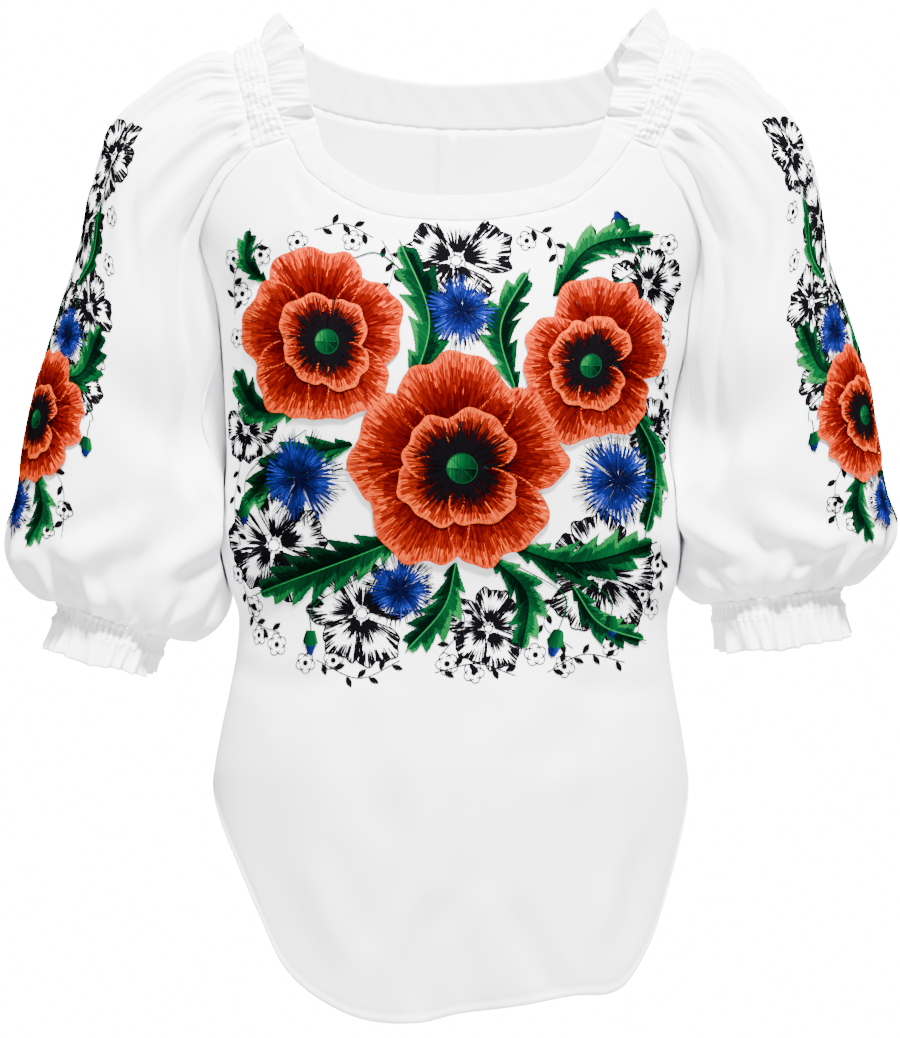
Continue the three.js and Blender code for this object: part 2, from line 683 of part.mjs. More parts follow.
// a ring point of a tube given by a table: turn 0 inner, 0.25 front, 0.5 outer, 0.75 back
function tubePoint(hand, curves, t, turn) {
  const outer = new THREE.Vector2(curves.outX(t), curves.outZ(t));
  const inner = new THREE.Vector2(curves.inX(t), curves.inZ(t));
  const c = Math.cos(2 * Math.PI * turn);
  const s = Math.sin(2 * Math.PI * turn);
  const power = SLEEVE_SQUARENESS;
  const round = (Math.abs(c) ** power + Math.abs(s) ** power) ** (-1 / power);
  const share = 0.5 - 0.5 * c * round;
  const egg = 1 - curves.egg(t) * (0.5 + 0.5 * c);
  const y = curves.midY(t) - curves.deep(t) * s * round * egg;
  return new THREE.Vector3(sign[hand] * mix(inner.x, outer.x, share), y, mix(inner.y, outer.y, share));
}

function tubeCurves(rows, key) {
  const names = ["outX", "outZ", "inX", "inZ", "midY", "deep", "egg"];
  return Object.fromEntries(names.map((name) => [name, rows.along(key, name)]));
}

// pushes a point out of the body, to rest at a clearance from its side
function clearOfBody(point, clearance) {
  const half = (point.x < 0 ? bodyLeft(point.z) : bodyRight(point.z)) + clearance;
  const depth = (point.y < 0 ? bodyFront(point.z) : bodyBack(point.z)) + clearance;
  const share = Math.abs(point.x / half) ** SQUARENESS + Math.abs(point.y / depth) ** SQUARENESS;
  const inside = share ** (1 / SQUARENESS);
  if (inside >= 1 || point.z > BACK_CORNER_Z) return point;
  return new THREE.Vector3(point.x / inside, point.y / inside, point.z);
}

// the folds of a sleeve at a place, in a flat picture of the sleeve
function sleeveFold(t, turn) {
  const x = t * SLEEVE_LENGTH;
  const z = turn * SLEEVE_GIRTH;
  return SLEEVE_FOLDS.entries.reduce((sum, f) => {
    const line = [f.t1 * SLEEVE_LENGTH, f.w1 * SLEEVE_GIRTH, f.t2 * SLEEVE_LENGTH, f.w2 * SLEEVE_GIRTH];
    return sum + f.depth * foldAmount(x, z, ...line, f.wide);
  }, 0);
}

function sleeve(hand) {
  const curves = tubeCurves(SLEEVES[hand], "t");
  const { points: head, away } = armhole(hand);
  const columns = head.length;
  const around = (t, j) => mix(headTurn(j, columns), j / columns, ease(t * 1.2));
  const start = head.map((point, j) => point.clone().sub(tubePoint(hand, curves, 0, headTurn(j, columns))));
  const grid = steps(SLEEVE_ROWS).map((step) => {
    const t = mix(step, step ** 1.5, 0.5);
    const fade = (1 - clamp(t / HEAD_REACH, 0, 1)) ** HEAD_FADE;
    return head.map((seam, j) => {
      if (t === 0) return seam.clone();
      const turn = around(t, j);
      const point = tubePoint(hand, curves, t, turn).addScaledVector(start[j], fade);
      return clearOfBody(point, mix(HEAD_REST, SLEEVE_REST, ease(t * 10)));
    });
  });
  const normals = gridNormals(grid, true, -sign[hand]);
  grid.forEach((row, i) => {
    const t = mix(i / SLEEVE_ROWS, (i / SLEEVE_ROWS) ** 1.5, 0.5);
    row.forEach((point, j) => {
      if (i === 0) return;
      const turn = around(t, j);
      const zigzag = j % 2 === 0 ? 1 : -1;
      const overHead = j > RAGLAN_STEPS && j < columns - RAGLAN_STEPS ? 1 : 0;
      const headGather = overHead * zigzag * HEAD_GATHER_DEPTH * Math.exp(-t / HEAD_GATHER_FADE);
      const cuffGather = zigzag * CUFF_GATHER_DEPTH * ease((t - CUFF_GATHER_START) / 0.15);
      const free = ease(turn * 12) * ease((1 - turn) * 12);
      point.addScaledVector(normals[i][j], headGather + cuffGather - free * sleeveFold(t, turn));
      point.copy(clearOfBody(point, mix(HEAD_REST, SLEEVE_REST, ease(t * 10))));
    });
  });
  grid[SLEEVE_ROWS] = cuffRing(hand, 0, columns, cuffRidge);
  const setNormals = (own) => {
    own[0].forEach((normal, j) => normal.copy(squareOff(normal, away[j])));
    own[SLEEVE_ROWS].forEach((normal, j) => normal.copy(ringNormal(hand, 0, grid[SLEEVE_ROWS][j])));
  };
  return clothWall(`sleeve_${hand}`, grid, { ring: true, side: -sign[hand], setNormals });
}

// ---------- the cuffs ----------
// the direction from the middle of a cuff ring to one of its points
function ringNormal(hand, v, point) {
  const curves = tubeCurves(CUFFS[hand], "v");
  const middle = mixPoints(tubePoint(hand, curves, v, 0), tubePoint(hand, curves, v, 0.5), 0.5);
  return point.clone().sub(middle).normalize();
}

function cuffRing(hand, v, columns, lift) {
  const curves = tubeCurves(CUFFS[hand], "v");
  return Array.from({ length: columns }, (_, j) => {
    const point = tubePoint(hand, curves, v, j / columns);
    return point.addScaledVector(ringNormal(hand, v, point), lift(j / columns, j));
  });
}

// the gathers of the shirred cuff: one up, one down
function cuffRidge(turn, j) {
  return j % 2 === 0 ? CUFF_RIDGE : -CUFF_RIDGE;
}

function cuffShirring(hand) {
  const columns = 2 * CUFF_GATHERS;
  const heights = steps(CUFF_ROWS).map((step) => mix(CUFF_TOP, 1, step));
  const grid = heights.map((v) => {
    const waist = -CUFF_WAIST * Math.sin(Math.PI * v);
    return cuffRing(hand, v, columns, (turn, j) => waist + cuffRidge(turn, j));
  });
  const setNormals = (own) =>
    own.forEach((row, i) => row.forEach((n, j) => n.copy(ringNormal(hand, heights[i], grid[i][j]))));
  return clothWall(`cuff_shirring_${hand}`, grid, { ring: true, side: -sign[hand], setNormals });
}

function cuffFrill(hand) {
  const columns = 4 * CUFF_FRILL_WAVES;
  const phase = hand === "left" ? 0.7 : 2.1;
  const heights = steps(FRILL_ROWS).map((step) => mix(CUFF_FRILL_TOP, 2, step));
  const grid = heights.map((v) => {
    const grown = ((v - CUFF_FRILL_TOP) / (2 - CUFF_FRILL_TOP)) ** FRILL_GROWTH;
    return cuffRing(hand, v, columns, (turn) => {
      const uneven = turn + 0.006 * Math.sin(2 * Math.PI * (3 * turn + phase));
      const height = CUFF_FRILL_DEPTH * (1 + 0.3 * Math.sin(2 * Math.PI * (2 * turn + phase)));
      return grown * height * Math.sin(2 * Math.PI * CUFF_FRILL_WAVES * uneven);
    });
  });
  const setNormals = (own) => own[0].forEach((n, j) => n.copy(ringNormal(hand, heights[0], grid[0][j])));
  return clothWall(`cuff_frill_${hand}`, grid, { ring: true, side: -sign[hand], setNormals });
}

// ---------- the blouse ----------
const group = new THREE.Group();
group.add(frontPanel());
group.add(backPanel("left"), backPanel("right"));
group.add(neckband("neckband_front", 1), neckband("neckband_back", -1));
["left", "right"].forEach((hand) => {
  group.add(sleeve(hand));
  group.add(shoulderShirring(hand), shoulderFrill(hand));
  group.add(cuffShirring(hand), cuffFrill(hand));
});

export default group;
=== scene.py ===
"""A white folk blouse with raglan puff sleeves and a stitched spray of poppies and cornflowers.

Sizes are in millimetres here and become metres when a mesh is made. +Z is up and the front faces -Y.
"""

import math

import bpy
import numpy as np
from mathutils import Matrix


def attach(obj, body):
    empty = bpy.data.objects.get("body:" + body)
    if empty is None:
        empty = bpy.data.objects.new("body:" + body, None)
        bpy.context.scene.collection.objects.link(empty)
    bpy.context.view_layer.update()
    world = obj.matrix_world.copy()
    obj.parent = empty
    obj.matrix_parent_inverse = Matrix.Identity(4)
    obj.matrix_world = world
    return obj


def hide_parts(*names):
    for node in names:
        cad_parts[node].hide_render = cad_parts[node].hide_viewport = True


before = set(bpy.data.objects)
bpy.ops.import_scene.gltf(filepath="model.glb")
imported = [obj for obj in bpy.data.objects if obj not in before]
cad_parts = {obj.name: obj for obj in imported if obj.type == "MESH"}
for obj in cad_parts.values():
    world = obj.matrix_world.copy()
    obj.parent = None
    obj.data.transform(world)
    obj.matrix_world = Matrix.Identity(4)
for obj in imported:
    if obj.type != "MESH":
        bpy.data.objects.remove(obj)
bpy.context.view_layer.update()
RANDOM = np.random.default_rng(21)

TAU = math.tau

# ---------- sizes ----------
CLOTH = 0.6  # thickness of the poplin as drawn
SQUARENESS = 2.3
SLEEVE_SQUARENESS = 2.15
UNDERARM = {"left": -185, "right": -188}
BACK_HEM_SHORTER = 8
BACK_SEAM_TURN = 2.062
SLEEVE_REST = 1.6
HEAD_REST = 0.9
HEAD_REACH = 0.42
HEAD_FADE = 2.2
COLUMN_LEAN = 1.7
FRONT_CORNER_TURN = 0.26
BACK_CORNER_TURN = 0.7
FRONT_CORNER_Z = -46
BACK_CORNER_Z = -8
HEAD_GATHERS = 25  # ridges of cloth along each shoulder
CUFF_RIDGES = 54  # ridges of cloth round each wrist
PANEL_HEIGHT = 560  # height of a body panel, which turns distances from its hem to shares
WRAP_LEVEL = -250.0  # height at which the spray's wrap round the body is measured
WRAP_HALF = 157  # half width of the body there
SPRAY_TURN = 0.405  # where the middle of a sleeve's spray lies round the sleeve
ALLOWANCE_WIDTH = 12.5
HEM_STITCH_RISE = 5.5
SIDE = {"left": -1, "right": 1}

# ---------- how fine each piece is ----------
def detail(full):
    return full


FINE = detail(4)  # columns for each column of the plain form
BODY_ROWS = detail(112)
SLEEVE_ROWS = detail(84)
SLEEVE_FINE = detail(5)
RAGLAN_COLUMNS = 8 * SLEEVE_FINE
SHIRRING_COLUMNS, SHIRRING_ROWS = detail(216), detail(26)
FRILL_COLUMNS, FRILL_ROWS = detail(300), detail(18)
CUFF_COLUMNS, CUFF_ROWS = detail(432), detail(10)
CUFF_FRILL_COLUMNS, CUFF_FRILL_ROWS = detail(378), detail(12)
NECKBAND_ROWS = 14
HEM_MARKS = (0, 1.1, 2.2, 3.3, 4.4, 5.5, 6.6, 8, 10)  # rows of points across the rolled hem
FIRST_BODY_ROW = 12


# ---------- tables and curves ----------
def smooth_curve(xs, ys):
    """A smooth curve through the points (xs, ys), with xs rising."""
    xs = np.asarray(xs, float)
    ys = np.asarray(ys, float)
    last = len(xs) - 1
    before = np.maximum(np.arange(last + 1) - 1, 0)
    after = np.minimum(np.arange(last + 1) + 1, last)
    slopes = (ys[after] - ys[before]) / (xs[after] - xs[before])

    def curve(x):
        x = np.asarray(x, float)
        i = np.clip(np.searchsorted(xs, x, side="left") - 1, 0, last - 1)
        width = xs[i + 1] - xs[i]
        t = np.clip((x - xs[i]) / width, 0, 1)
        start = (1 + 2 * t) * (1 - t) ** 2 * ys[i] + t * (1 - t) ** 2 * width * slopes[i]
        finish = t * t * (3 - 2 * t) * ys[i + 1] - t * t * (1 - t) * width * slopes[i + 1]
        return start + finish

    return curve


class Table:
    """Rows of numbers with named columns, one row to a line."""

    def __init__(self, header, text):
        names = header.split()
        self.rows = [dict(zip(names, map(float, line.split()))) for line in text.strip().splitlines()]

    def column(self, name):
        return [row[name] for row in self.rows]

    def along(self, key, name):
        return smooth_curve(self.column(key), self.column(name))


BODY = Table("z left right front back", """
-670 163 161 106 96
-600 167 166 109 99
-480 165 166 110 100
-448 160 162 107 97
-420 154 157 103 91
-392 149 153 99 84
-366 148 152.5 98 80
-345 155 158 100 79
-320 160 161 104 80
-288 158 158 109 83
-252 156 153 115 88
-217 157 156 118 92
-182 159 164 116 94
-150 163 168 110 95
-122 173 177 101 93
-96 183 184 92 90
-70 185 187 84 86
-45 181 187 77 82
-8 167 181 66 75
40 150 166 52 64
""")
RAGLAN = Table("rise front_left front_right back", """
0 1 1 1
0.16 0.955 0.955 1.045
0.33 0.925 0.915 1.085
0.5 0.905 0.885 1.12
0.64 0.875 0.86 1.15
0.76 0.835 0.815 1.18
0.88 0.785 0.775 1.21
1 0.745 0.763 1.24
""")
FRONT_BAND = Table("p edge_x edge_z seam_x seam_z", """
0 -91 -31 -110 -39
0.12 -82 -53 -95 -65
0.32 -48 -75 -54 -91
0.5 -9 -80.5 -9 -98
0.68 34 -79 36 -96.5
0.84 75 -69.5 82 -85
0.93 96 -51.5 109 -62
1 105 -31 125 -40
""")
BACK_BAND = Table("p edge_x edge_z seam_x seam_z", """
0 -104 36 -114 2
0.14 -84 27 -90 -8
0.3 -55 18.5 -58 -15
0.5 -9 12 -9 -20
0.68 40 13 42 -20.5
0.86 84 16 92 -18
1 110 22 126 -9
""")
HEM = Table("turn z", """
-1 -480
-0.88 -499
-0.774 -528
-0.67 -569
-0.59 -602
-0.48 -624
-0.33 -638
-0.12 -640
0.02 -634
0.25 -629
0.45 -622.5
0.6 -619
0.7 -589
0.8 -539
0.89 -504
1 -479
""")
SHOULDER_COLUMNS = "s out_x out_y out_z root_x root_y root_z tip_x tip_y tip_z"
SHOULDERS = {
    "left": Table(SHOULDER_COLUMNS, """
0.2 141 -43 -17 122 -48 -10 97 -57 -8
0.4 148 -25 8 127 -28 15 103 -39 25
0.55 151 -3 24 133 -4 34 115 -9 49
0.75 148 22 17 129 22 28 112 20 46
"""),
    "right": Table(SHOULDER_COLUMNS, """
0.2 156 -42 -15 137 -48 -9 112 -56 -6
0.4 165 -25 10 146 -28 18 122 -38 26
0.55 170 -3 26 153 -5 36 137 -9 53
0.66 169 10 25 152 9 35 143 6 55
0.8 163 28 16 144 28 26 126 24 44
"""),
}
TUBE_COLUMNS = "t out_x out_z in_x in_z mid_y deep egg"
SLEEVES = {
    "left": Table(TUBE_COLUMNS, """
0 151 20 160 -186 -4 48 0.62
0.05 175 19 157 -192 0 55 0.6
0.12 207 1 154 -199 5 62 0.5
0.2 239.5 -27 151 -209 10 67 0.38
0.28 253 -68 150 -226 15 69 0.27
0.37 263 -112 150 -245 18 71 0.15
0.46 276 -157 150 -266 21 73 0.06
0.55 288 -198 150 -287 22 76 0
0.64 298 -243 151 -309 23 79 0
0.73 305 -283 151 -331 22 80 0
0.8 312 -309 153 -347 20 79 0
0.86 309 -329 156 -364 16 74 0
0.91 298 -344 164 -376 10 64 0
0.96 284 -353 179 -384 4 51 0
1 274 -358 198 -383 0 42 0
"""),
    "right": Table(TUBE_COLUMNS, """
0 168 21 165 -189 -4 48 0.62
0.05 190 20 162 -194 0 55 0.6
0.12 218 0 159 -200 5 62 0.5
0.2 245 -30 156 -210 10 67 0.38
0.28 259 -72 154 -226 15 69 0.27
0.37 266 -115 153 -244 18 71 0.15
0.46 280 -160 152 -263 21 73 0.06
0.55 292 -200 152 -282 22 76 0
0.64 299 -243 153 -301 23 79 0
0.73 306 -282 154 -320 22 80 0
0.8 312 -304 156 -334 20 79 0
0.86 306 -321 158 -346 16 74 0
0.91 294 -334 165 -352 10 64 0
0.96 283 -343 175 -357 4 51 0
1 273 -348 184 -359 0 43 0
"""),
}
CUFFS = {
    "left": Table(TUBE_COLUMNS, """
0 274 -358 198 -383 0 42 0
1 276 -370 202 -395 -2 41 0
2 282 -388 207 -407 -5 45 0
"""),
    "right": Table(TUBE_COLUMNS, """
0 273 -348 184 -359 0 43 0
1 274 -360 184.5 -371 -2 43 0
2 278.5 -380 189 -391 -5 48 0
"""),
}

# soft folds of the body as seen from the front: ends (x, z), how far the line bows, depth, half width
BODY_FOLDS = Table("face x1 z1 x2 z2 bow depth wide", """
1 -8 -556 -20 -642 4 3.8 11
1 44 -560 78 -626 4 2.6 9
1 18 -545 30 -626 -3 -2.2 11
1 -128 -450 -104 -610 8 2.0 19
1 -60 -392 -120 -440 6 2.4 15
1 100 -400 60 -470 -6 3 15
1 98 -70 121 -112 3 4.2 4.5
1 -103 -62 -94 -92 2 3 5
1 -152 -150 -112 -110 5 3.2 7
1 150 -158 116 -118 -5 3.2 7
1 -156 -322 -112 -312 -5 3 8
1 156 -338 118 -326 5 3 8
1 -150 -404 -80 -412 4 1.5 9
1 150 -416 70 -408 -5 1.5 9
1 -66 -420 -40 -520 5 2 14
1 96 -430 106 -560 5 2.8 12
1 -34 -470 -62 -600 -5 2.6 11
1 -96 -530 -60 -604 4 -1.7 11
1 -72 -66 -62 -96 1 1.6 3.5
1 66 -90 75 -118 1 1.6 3.5
1 20 -440 14 -540 2 -2 13
1 -158 -250 -128 -286 4 2.4 7
1 158 -236 134 -280 -4 2.4 7
1 130 -520 112 -598 -3 2.6 9
-1 -60 -330 -90 -560 6 5 18
-1 70 -320 95 -590 -6 5 18
-1 -110 -110 -75 -230 6 4 16
-1 118 -115 80 -240 -6 4 16
-1 -144 -350 -60 -372 5 3 12
-1 140 -340 50 -366 -5 3 12
-1 20 -440 34 -600 4 3 15
-1 -130 -420 -120 -520 4 3 14
-1 -30 -200 30 -290 8 2 16
-1 -150 -300 -90 -318 4 3 8
-1 150 -300 96 -322 -4 3 8
-1 -50 -560 -40 -640 3 4 10
-1 70 -560 84 -620 3 3.4 9
""")

# folds of the sleeves: t runs down the sleeve, w round it (0 inner, 0.25 front, 0.5 outer, 0.75 back)
SLEEVE_FOLDS = Table("t1 w1 t2 w2 bow depth wide", """
0.22 0.03 0.56 0.24 8 15 30
0.52 0.04 0.88 0.4 18 -8 15
0.2 0.84 0.6 0.94 6 8 20
0.02 0.29 0.3 0.19 4 6 8
0.02 0.37 0.3 0.41 -7 5 8
0.55 0.08 0.9 0.36 14 8 12
0.42 0.14 0.78 0.22 8 5 11
0.8 0.36 0.97 0.3 3 5 9
0.05 0.66 0.3 0.78 6 5 12
0.5 0.72 0.9 0.68 6 6 13
0.6 0.88 0.93 0.8 6 6 12
0.5 0.05 0.82 0.2 10 -4 9
0.02 0.33 0.24 0.3 4 4.5 5
0.02 0.42 0.34 0.5 10 4.2 6
0.02 0.47 0.24 0.57 7 3.6 6
0.03 0.36 0.3 0.3 -8 3.4 6
0.08 0.24 0.46 0.15 8 5 8
0.3 0.22 0.62 0.12 -6 3.4 8
0.76 0.2 0.96 0.22 -3 5.5 7
0.8 0.46 0.97 0.42 4 5 7
0.68 0.26 0.93 0.44 9 4.6 9
0.76 0.52 0.97 0.56 -3 4.6 8
0.8 0.06 0.97 0.12 3 5 8
0.8 0.62 0.97 0.66 3 4.6 8
0.03 0.58 0.28 0.66 6 4 7
0.8 0.76 0.97 0.74 -3 4.6 8
0.4 0.6 0.75 0.58 8 3 11
0.8 0.9 0.96 0.9 3 4.4 8
0.35 0.8 0.7 0.84 6 4 11
0.02 0.26 0.2 0.24 2 4 5
0.84 0.27 0.97 0.26 1 3.6 5
0.85 0.33 0.97 0.36 -1 3.4 5
0.84 0.14 0.97 0.17 1 3.6 5
""")
SLEEVE_LENGTH = 400
SLEEVE_GIRTH = 420


def clamp(x, low, high):
    return np.minimum(np.maximum(x, low), high)


def mix(a, b, t):
    return a + (b - a) * t


def ease(t):
    c = clamp(t, 0, 1)
    return c * c * (3 - 2 * c)


def unit(v):
    return v / np.maximum(np.linalg.norm(v, axis=-1, keepdims=True), 1e-9)


def run_along(path):
    """Distance along a path to each of its points."""
    return np.append(0, np.cumsum(np.linalg.norm(np.diff(path, axis=0), axis=1)))


def read_path(path, lengths, marks):
    """Points of a path at the given distances along it."""
    return np.stack([np.interp(marks, lengths, column) for column in path.T], axis=-1)


def close_ring(grid):
    """A grid of points round a sleeve with its first column again at the end."""
    return np.concatenate([grid, grid[:, :1]], axis=1)


def fold_amount(x, z, x1, z1, x2, z2, bow, wide):
    """1 on a bowed line, fading to its sides and its ends."""
    length = math.hypot(x2 - x1, z2 - z1)
    along = ((x - x1) * (x2 - x1) + (z - z1) * (z2 - z1)) / length
    share = clamp(along / length, 0, 1)
    across = ((x - x1) * (z2 - z1) - (z - z1) * (x2 - x1)) / length - bow * 4 * share * (1 - share)
    ends = ease(along / (0.35 * length) + 0.35) * ease((length - along) / (0.35 * length) + 0.35)
    side = across / wide
    return ends * (np.exp(-(side**2)) - 0.28 * np.exp(-((np.abs(side) - 1.9) ** 2) * 1.6))


# ---------- the body ----------
HALF_LEFT = BODY.along("z", "left")
HALF_RIGHT = BODY.along("z", "right")
DEPTH_FRONT = BODY.along("z", "front")
DEPTH_BACK = BODY.along("z", "back")
HEM_FRONT = HEM.along("turn", "z")
RAGLAN_FRONT = {hand: RAGLAN.along("rise", f"front_{hand}") for hand in SIDE}
RAGLAN_BACK = RAGLAN.along("rise", "back")


def half_width(side, z):
    """Half width of the body on the side that the sign says."""
    return np.where(side < 0, HALF_LEFT(z), HALF_RIGHT(z))


def body_point(turn, z):
    """A place on the plain form: turn is 0 at the front, 1 and -1 at the sides and 2 at the back."""
    turn, z = np.broadcast_arrays(np.asarray(turn, float), np.asarray(z, float))
    s = np.sin(turn * math.pi / 2)
    c = np.cos(turn * math.pi / 2)
    half = half_width(s, z)
    depth = np.where(c > 0, DEPTH_FRONT(z), DEPTH_BACK(z))
    total = np.abs(s / half) ** SQUARENESS + np.abs(c / depth) ** SQUARENESS
    radius = total ** (-1 / SQUARENESS)
    return np.stack([radius * s, -radius * c, z], axis=-1)


def body_normal(turn, z):
    across = body_point(turn + 0.01, z) - body_point(turn - 0.01, z)
    up = body_point(turn, z + 1) - body_point(turn, z - 1)
    return unit(np.cross(across, up))


def turn_at(x, z, face):
    """How far round the body a place seen from the front (face 1) or the back (face -1) lies."""
    depth = DEPTH_FRONT(z) if face > 0 else DEPTH_BACK(z)
    share = clamp(np.abs(x / half_width(x, z)), 0, 1) ** SQUARENESS
    y = depth * (1 - share) ** (1 / SQUARENESS)
    turn = np.arctan2(np.abs(x), y) / (math.pi / 2)
    return np.sign(x) * (turn if face > 0 else 2 - turn)


def body_relief(turn, x, z, face):
    """How far the cloth of the front or back stands out from the plain form."""
    folds = sum(f["depth"] * fold_amount(x, z, f["x1"], f["z1"], f["x2"], f["z2"], f["bow"], f["wide"])
                for f in BODY_FOLDS.rows if f["face"] == face)
    side = 1 - np.abs(np.abs(turn) - (0 if face > 0 else 2))
    waves = 0.9 * np.sin(x / 31 + z / 77 + face) * np.sin(z / 58 - x / 140) + 0.5 * np.sin(x / 17 - z / 43)
    return ease(side * 7) * (waves - folds)


def raglan_place(hand, face, rise):
    """Turn and height of a raglan seam, from the underarm at rise 0 to its upper corner at 1."""
    corner = FRONT_CORNER_Z if face > 0 else BACK_CORNER_Z
    turn = RAGLAN_FRONT[hand](rise) if face > 0 else RAGLAN_BACK(rise)
    return SIDE[hand] * turn, mix(UNDERARM[hand], corner, rise)


def band_place(face, line, p):
    """Turn and height along the seam or the free edge of a neckband."""
    band = FRONT_BAND if face > 0 else BACK_BAND
    x = band.along("p", f"{line}_x")(p)
    z = band.along("p", f"{line}_z")(p)
    return turn_at(x, z, face), z


def mix_places(a, b, t):
    """A place between two others, the short way round the body."""
    turn = np.where(np.abs(a[0] - b[0]) > 2, b[0] + 4 * np.sign(a[0]), b[0])
    return mix(a[0], turn, t), mix(a[1], b[1], t)


def hand_outline(hand, face):
    """A panel's edge from the underarm up its raglan seam to the end of the neckband's seam."""
    rise = np.linspace(0, 1, 8 * FINE + 1)
    turn, z = raglan_place(hand, face, rise)
    start = (turn[-1], z[-1])
    end = band_place(face, "seam", 0.0 if hand == "left" else 1.0)
    corner = mix_places(start, end, np.linspace(0, 1, 2 * FINE + 1)[1:])
    return np.append(turn, corner[0]), np.append(z, corner[1])


def hem_height(turn):
    """Height of the shirt-tail hem; the back's is a smoother copy of the front's."""
    turn = np.asarray(turn, float)
    from_middle = np.abs(np.abs(turn) - 2)
    mirrored = 0.5 * (HEM_FRONT(-from_middle) + HEM_FRONT(from_middle))
    behind = mirrored + BACK_HEM_SHORTER * ease((1 - from_middle) * 3)
    return np.where(np.abs(turn) <= 1, HEM_FRONT(clamp(turn, -1, 1)), behind)


def body_panel(name, outline, low, high, face):
    turns, heights = outline
    v = np.linspace(FIRST_BODY_ROW / PANEL_HEIGHT, 1, BODY_ROWS + 1 - len(HEM_MARKS))
    v = np.append(np.array(HEM_MARKS) / PANEL_HEIGHT, mix(v, v**0.85, 0.5))[:, None]
    foot = np.linspace(low, high, len(turns))[None, :]
    turn = mix(foot, turns[None, :], v**COLUMN_LEAN)
    z = mix(hem_height(foot), heights[None, :], v)
    points = body_point(turn, z)
    normals = body_normal(turn, z)
    x = points[..., 0]
    relief = body_relief(turn, x, z, face) * ease((1 - v) * 14)
    up = z - hem_height(foot)
    pucker = 1 + 0.3 * np.sin(x / 4.1 + 3 * np.sin(x / 17))
    roll = 0.6 * np.exp(-(((up - 2.3) / 1.9) ** 2)) - 0.32 * pucker * np.exp(-(((up - 6.4) / 1.3) ** 2))
    gathers = 0.45 * np.sin(x / 2.9 + 2 * np.sin(x / 13)) * np.exp(-(1 - v) * 40) * ease((1 - v) * 90)
    points = points + normals * (relief + roll + gathers)[..., None]
    normals = grid_normals(points, False, 1)
    return shell(name, points, normals=normals), (points, normals)


def front_panel():
    p = np.linspace(0, 1, 14 * FINE + 1)
    neck = band_place(1, "seam", p)
    left = hand_outline("left", 1)
    right = hand_outline("right", 1)
    turns = np.concatenate([left[0], neck[0][1:], right[0][::-1][1:]])
    heights = np.concatenate([left[1], neck[1][1:], right[1][::-1][1:]])
    return body_panel("front_panel", (turns, heights), -1, 1, 1)


def back_panel(hand):
    t = np.linspace(0, 1, 7 * FINE + 1)
    half = band_place(-1, "seam", t / 2 if hand == "left" else 1 - t / 2)
    edge = hand_outline(hand, -1)
    turns = np.append(edge[0], half[0][1:])
    heights = np.append(edge[1], half[1][1:])
    if hand == "left":
        turns = np.where(turns > 0, turns - 4, turns)
        return body_panel("back_panel_left", (turns[::-1], heights[::-1]), BACK_SEAM_TURN - 4, -1, -1)
    turns = np.where(turns < 0, turns + 4, turns)
    return body_panel("back_panel_right", (turns, heights), 1, BACK_SEAM_TURN, -1)


def read_grid(grid, row, column):
    """Values between the points of a grid, which may close on itself round its columns."""
    rows, columns = grid.shape[:2]
    row = clamp(row, 0, rows - 1.001)
    i, j = np.floor(row).astype(int), np.floor(column).astype(int)
    f, g = (row - i)[..., None], (column - j)[..., None]
    a, b = j % columns, (j + 1) % columns
    return mix(mix(grid[i, a], grid[i, b], g), mix(grid[i + 1, a], grid[i + 1, b], g), f)


def round_side(x, z):
    """Width seen from the front of a place that lies a given width round the body."""
    arc = body_point(np.linspace(0, 1, 400), np.full(400, WRAP_LEVEL))
    along = run_along(arc) / arc[-1, 0]
    half = half_width(x, z)
    share = np.abs(x) * (1 + 0.1 * (x / WRAP_HALF) ** 4) / half
    return np.sign(x) * half * np.interp(share, along, arc[:, 0] / arc[-1, 0])


def flat_cross(a, b):
    return a[..., 0] * b[..., 1] - a[..., 1] * b[..., 0]


def front_surface(points, normals):
    """Maps a width and height to the front's cloth, by steps across its grid that close in on the place.

    A place that is off the cloth has no numbers.
    """
    rows, columns = points.shape[:2]
    plan = points[..., [0, 2]]
    up, over = np.gradient(plan, axis=0), np.gradient(plan, axis=1)
    middle_row, middle_column = plan[rows // 2, :, 0], plan[:, columns // 2, 1]

    def surface(x, z):
        x = round_side(x, z)
        row = np.interp(z, middle_column, np.arange(rows))
        column = np.interp(x, middle_row, np.arange(columns))
        for _ in range(12):
            off = np.stack([x, z], -1) - read_grid(plan, row, column)
            a, b = read_grid(up, row, column), read_grid(over, row, column)
            scale = flat_cross(a, b)
            row = clamp(row + flat_cross(off, b) / scale, 0, rows - 1.001)
            column = clamp(column + flat_cross(a, off) / scale, 0, columns - 1.001)
        places = read_grid(points, row, column)
        near = 0.6
        places[np.hypot(places[..., 0] - x, places[..., 2] - z) > near] = np.nan
        return places, unit(read_grid(normals, row, column))

    return surface


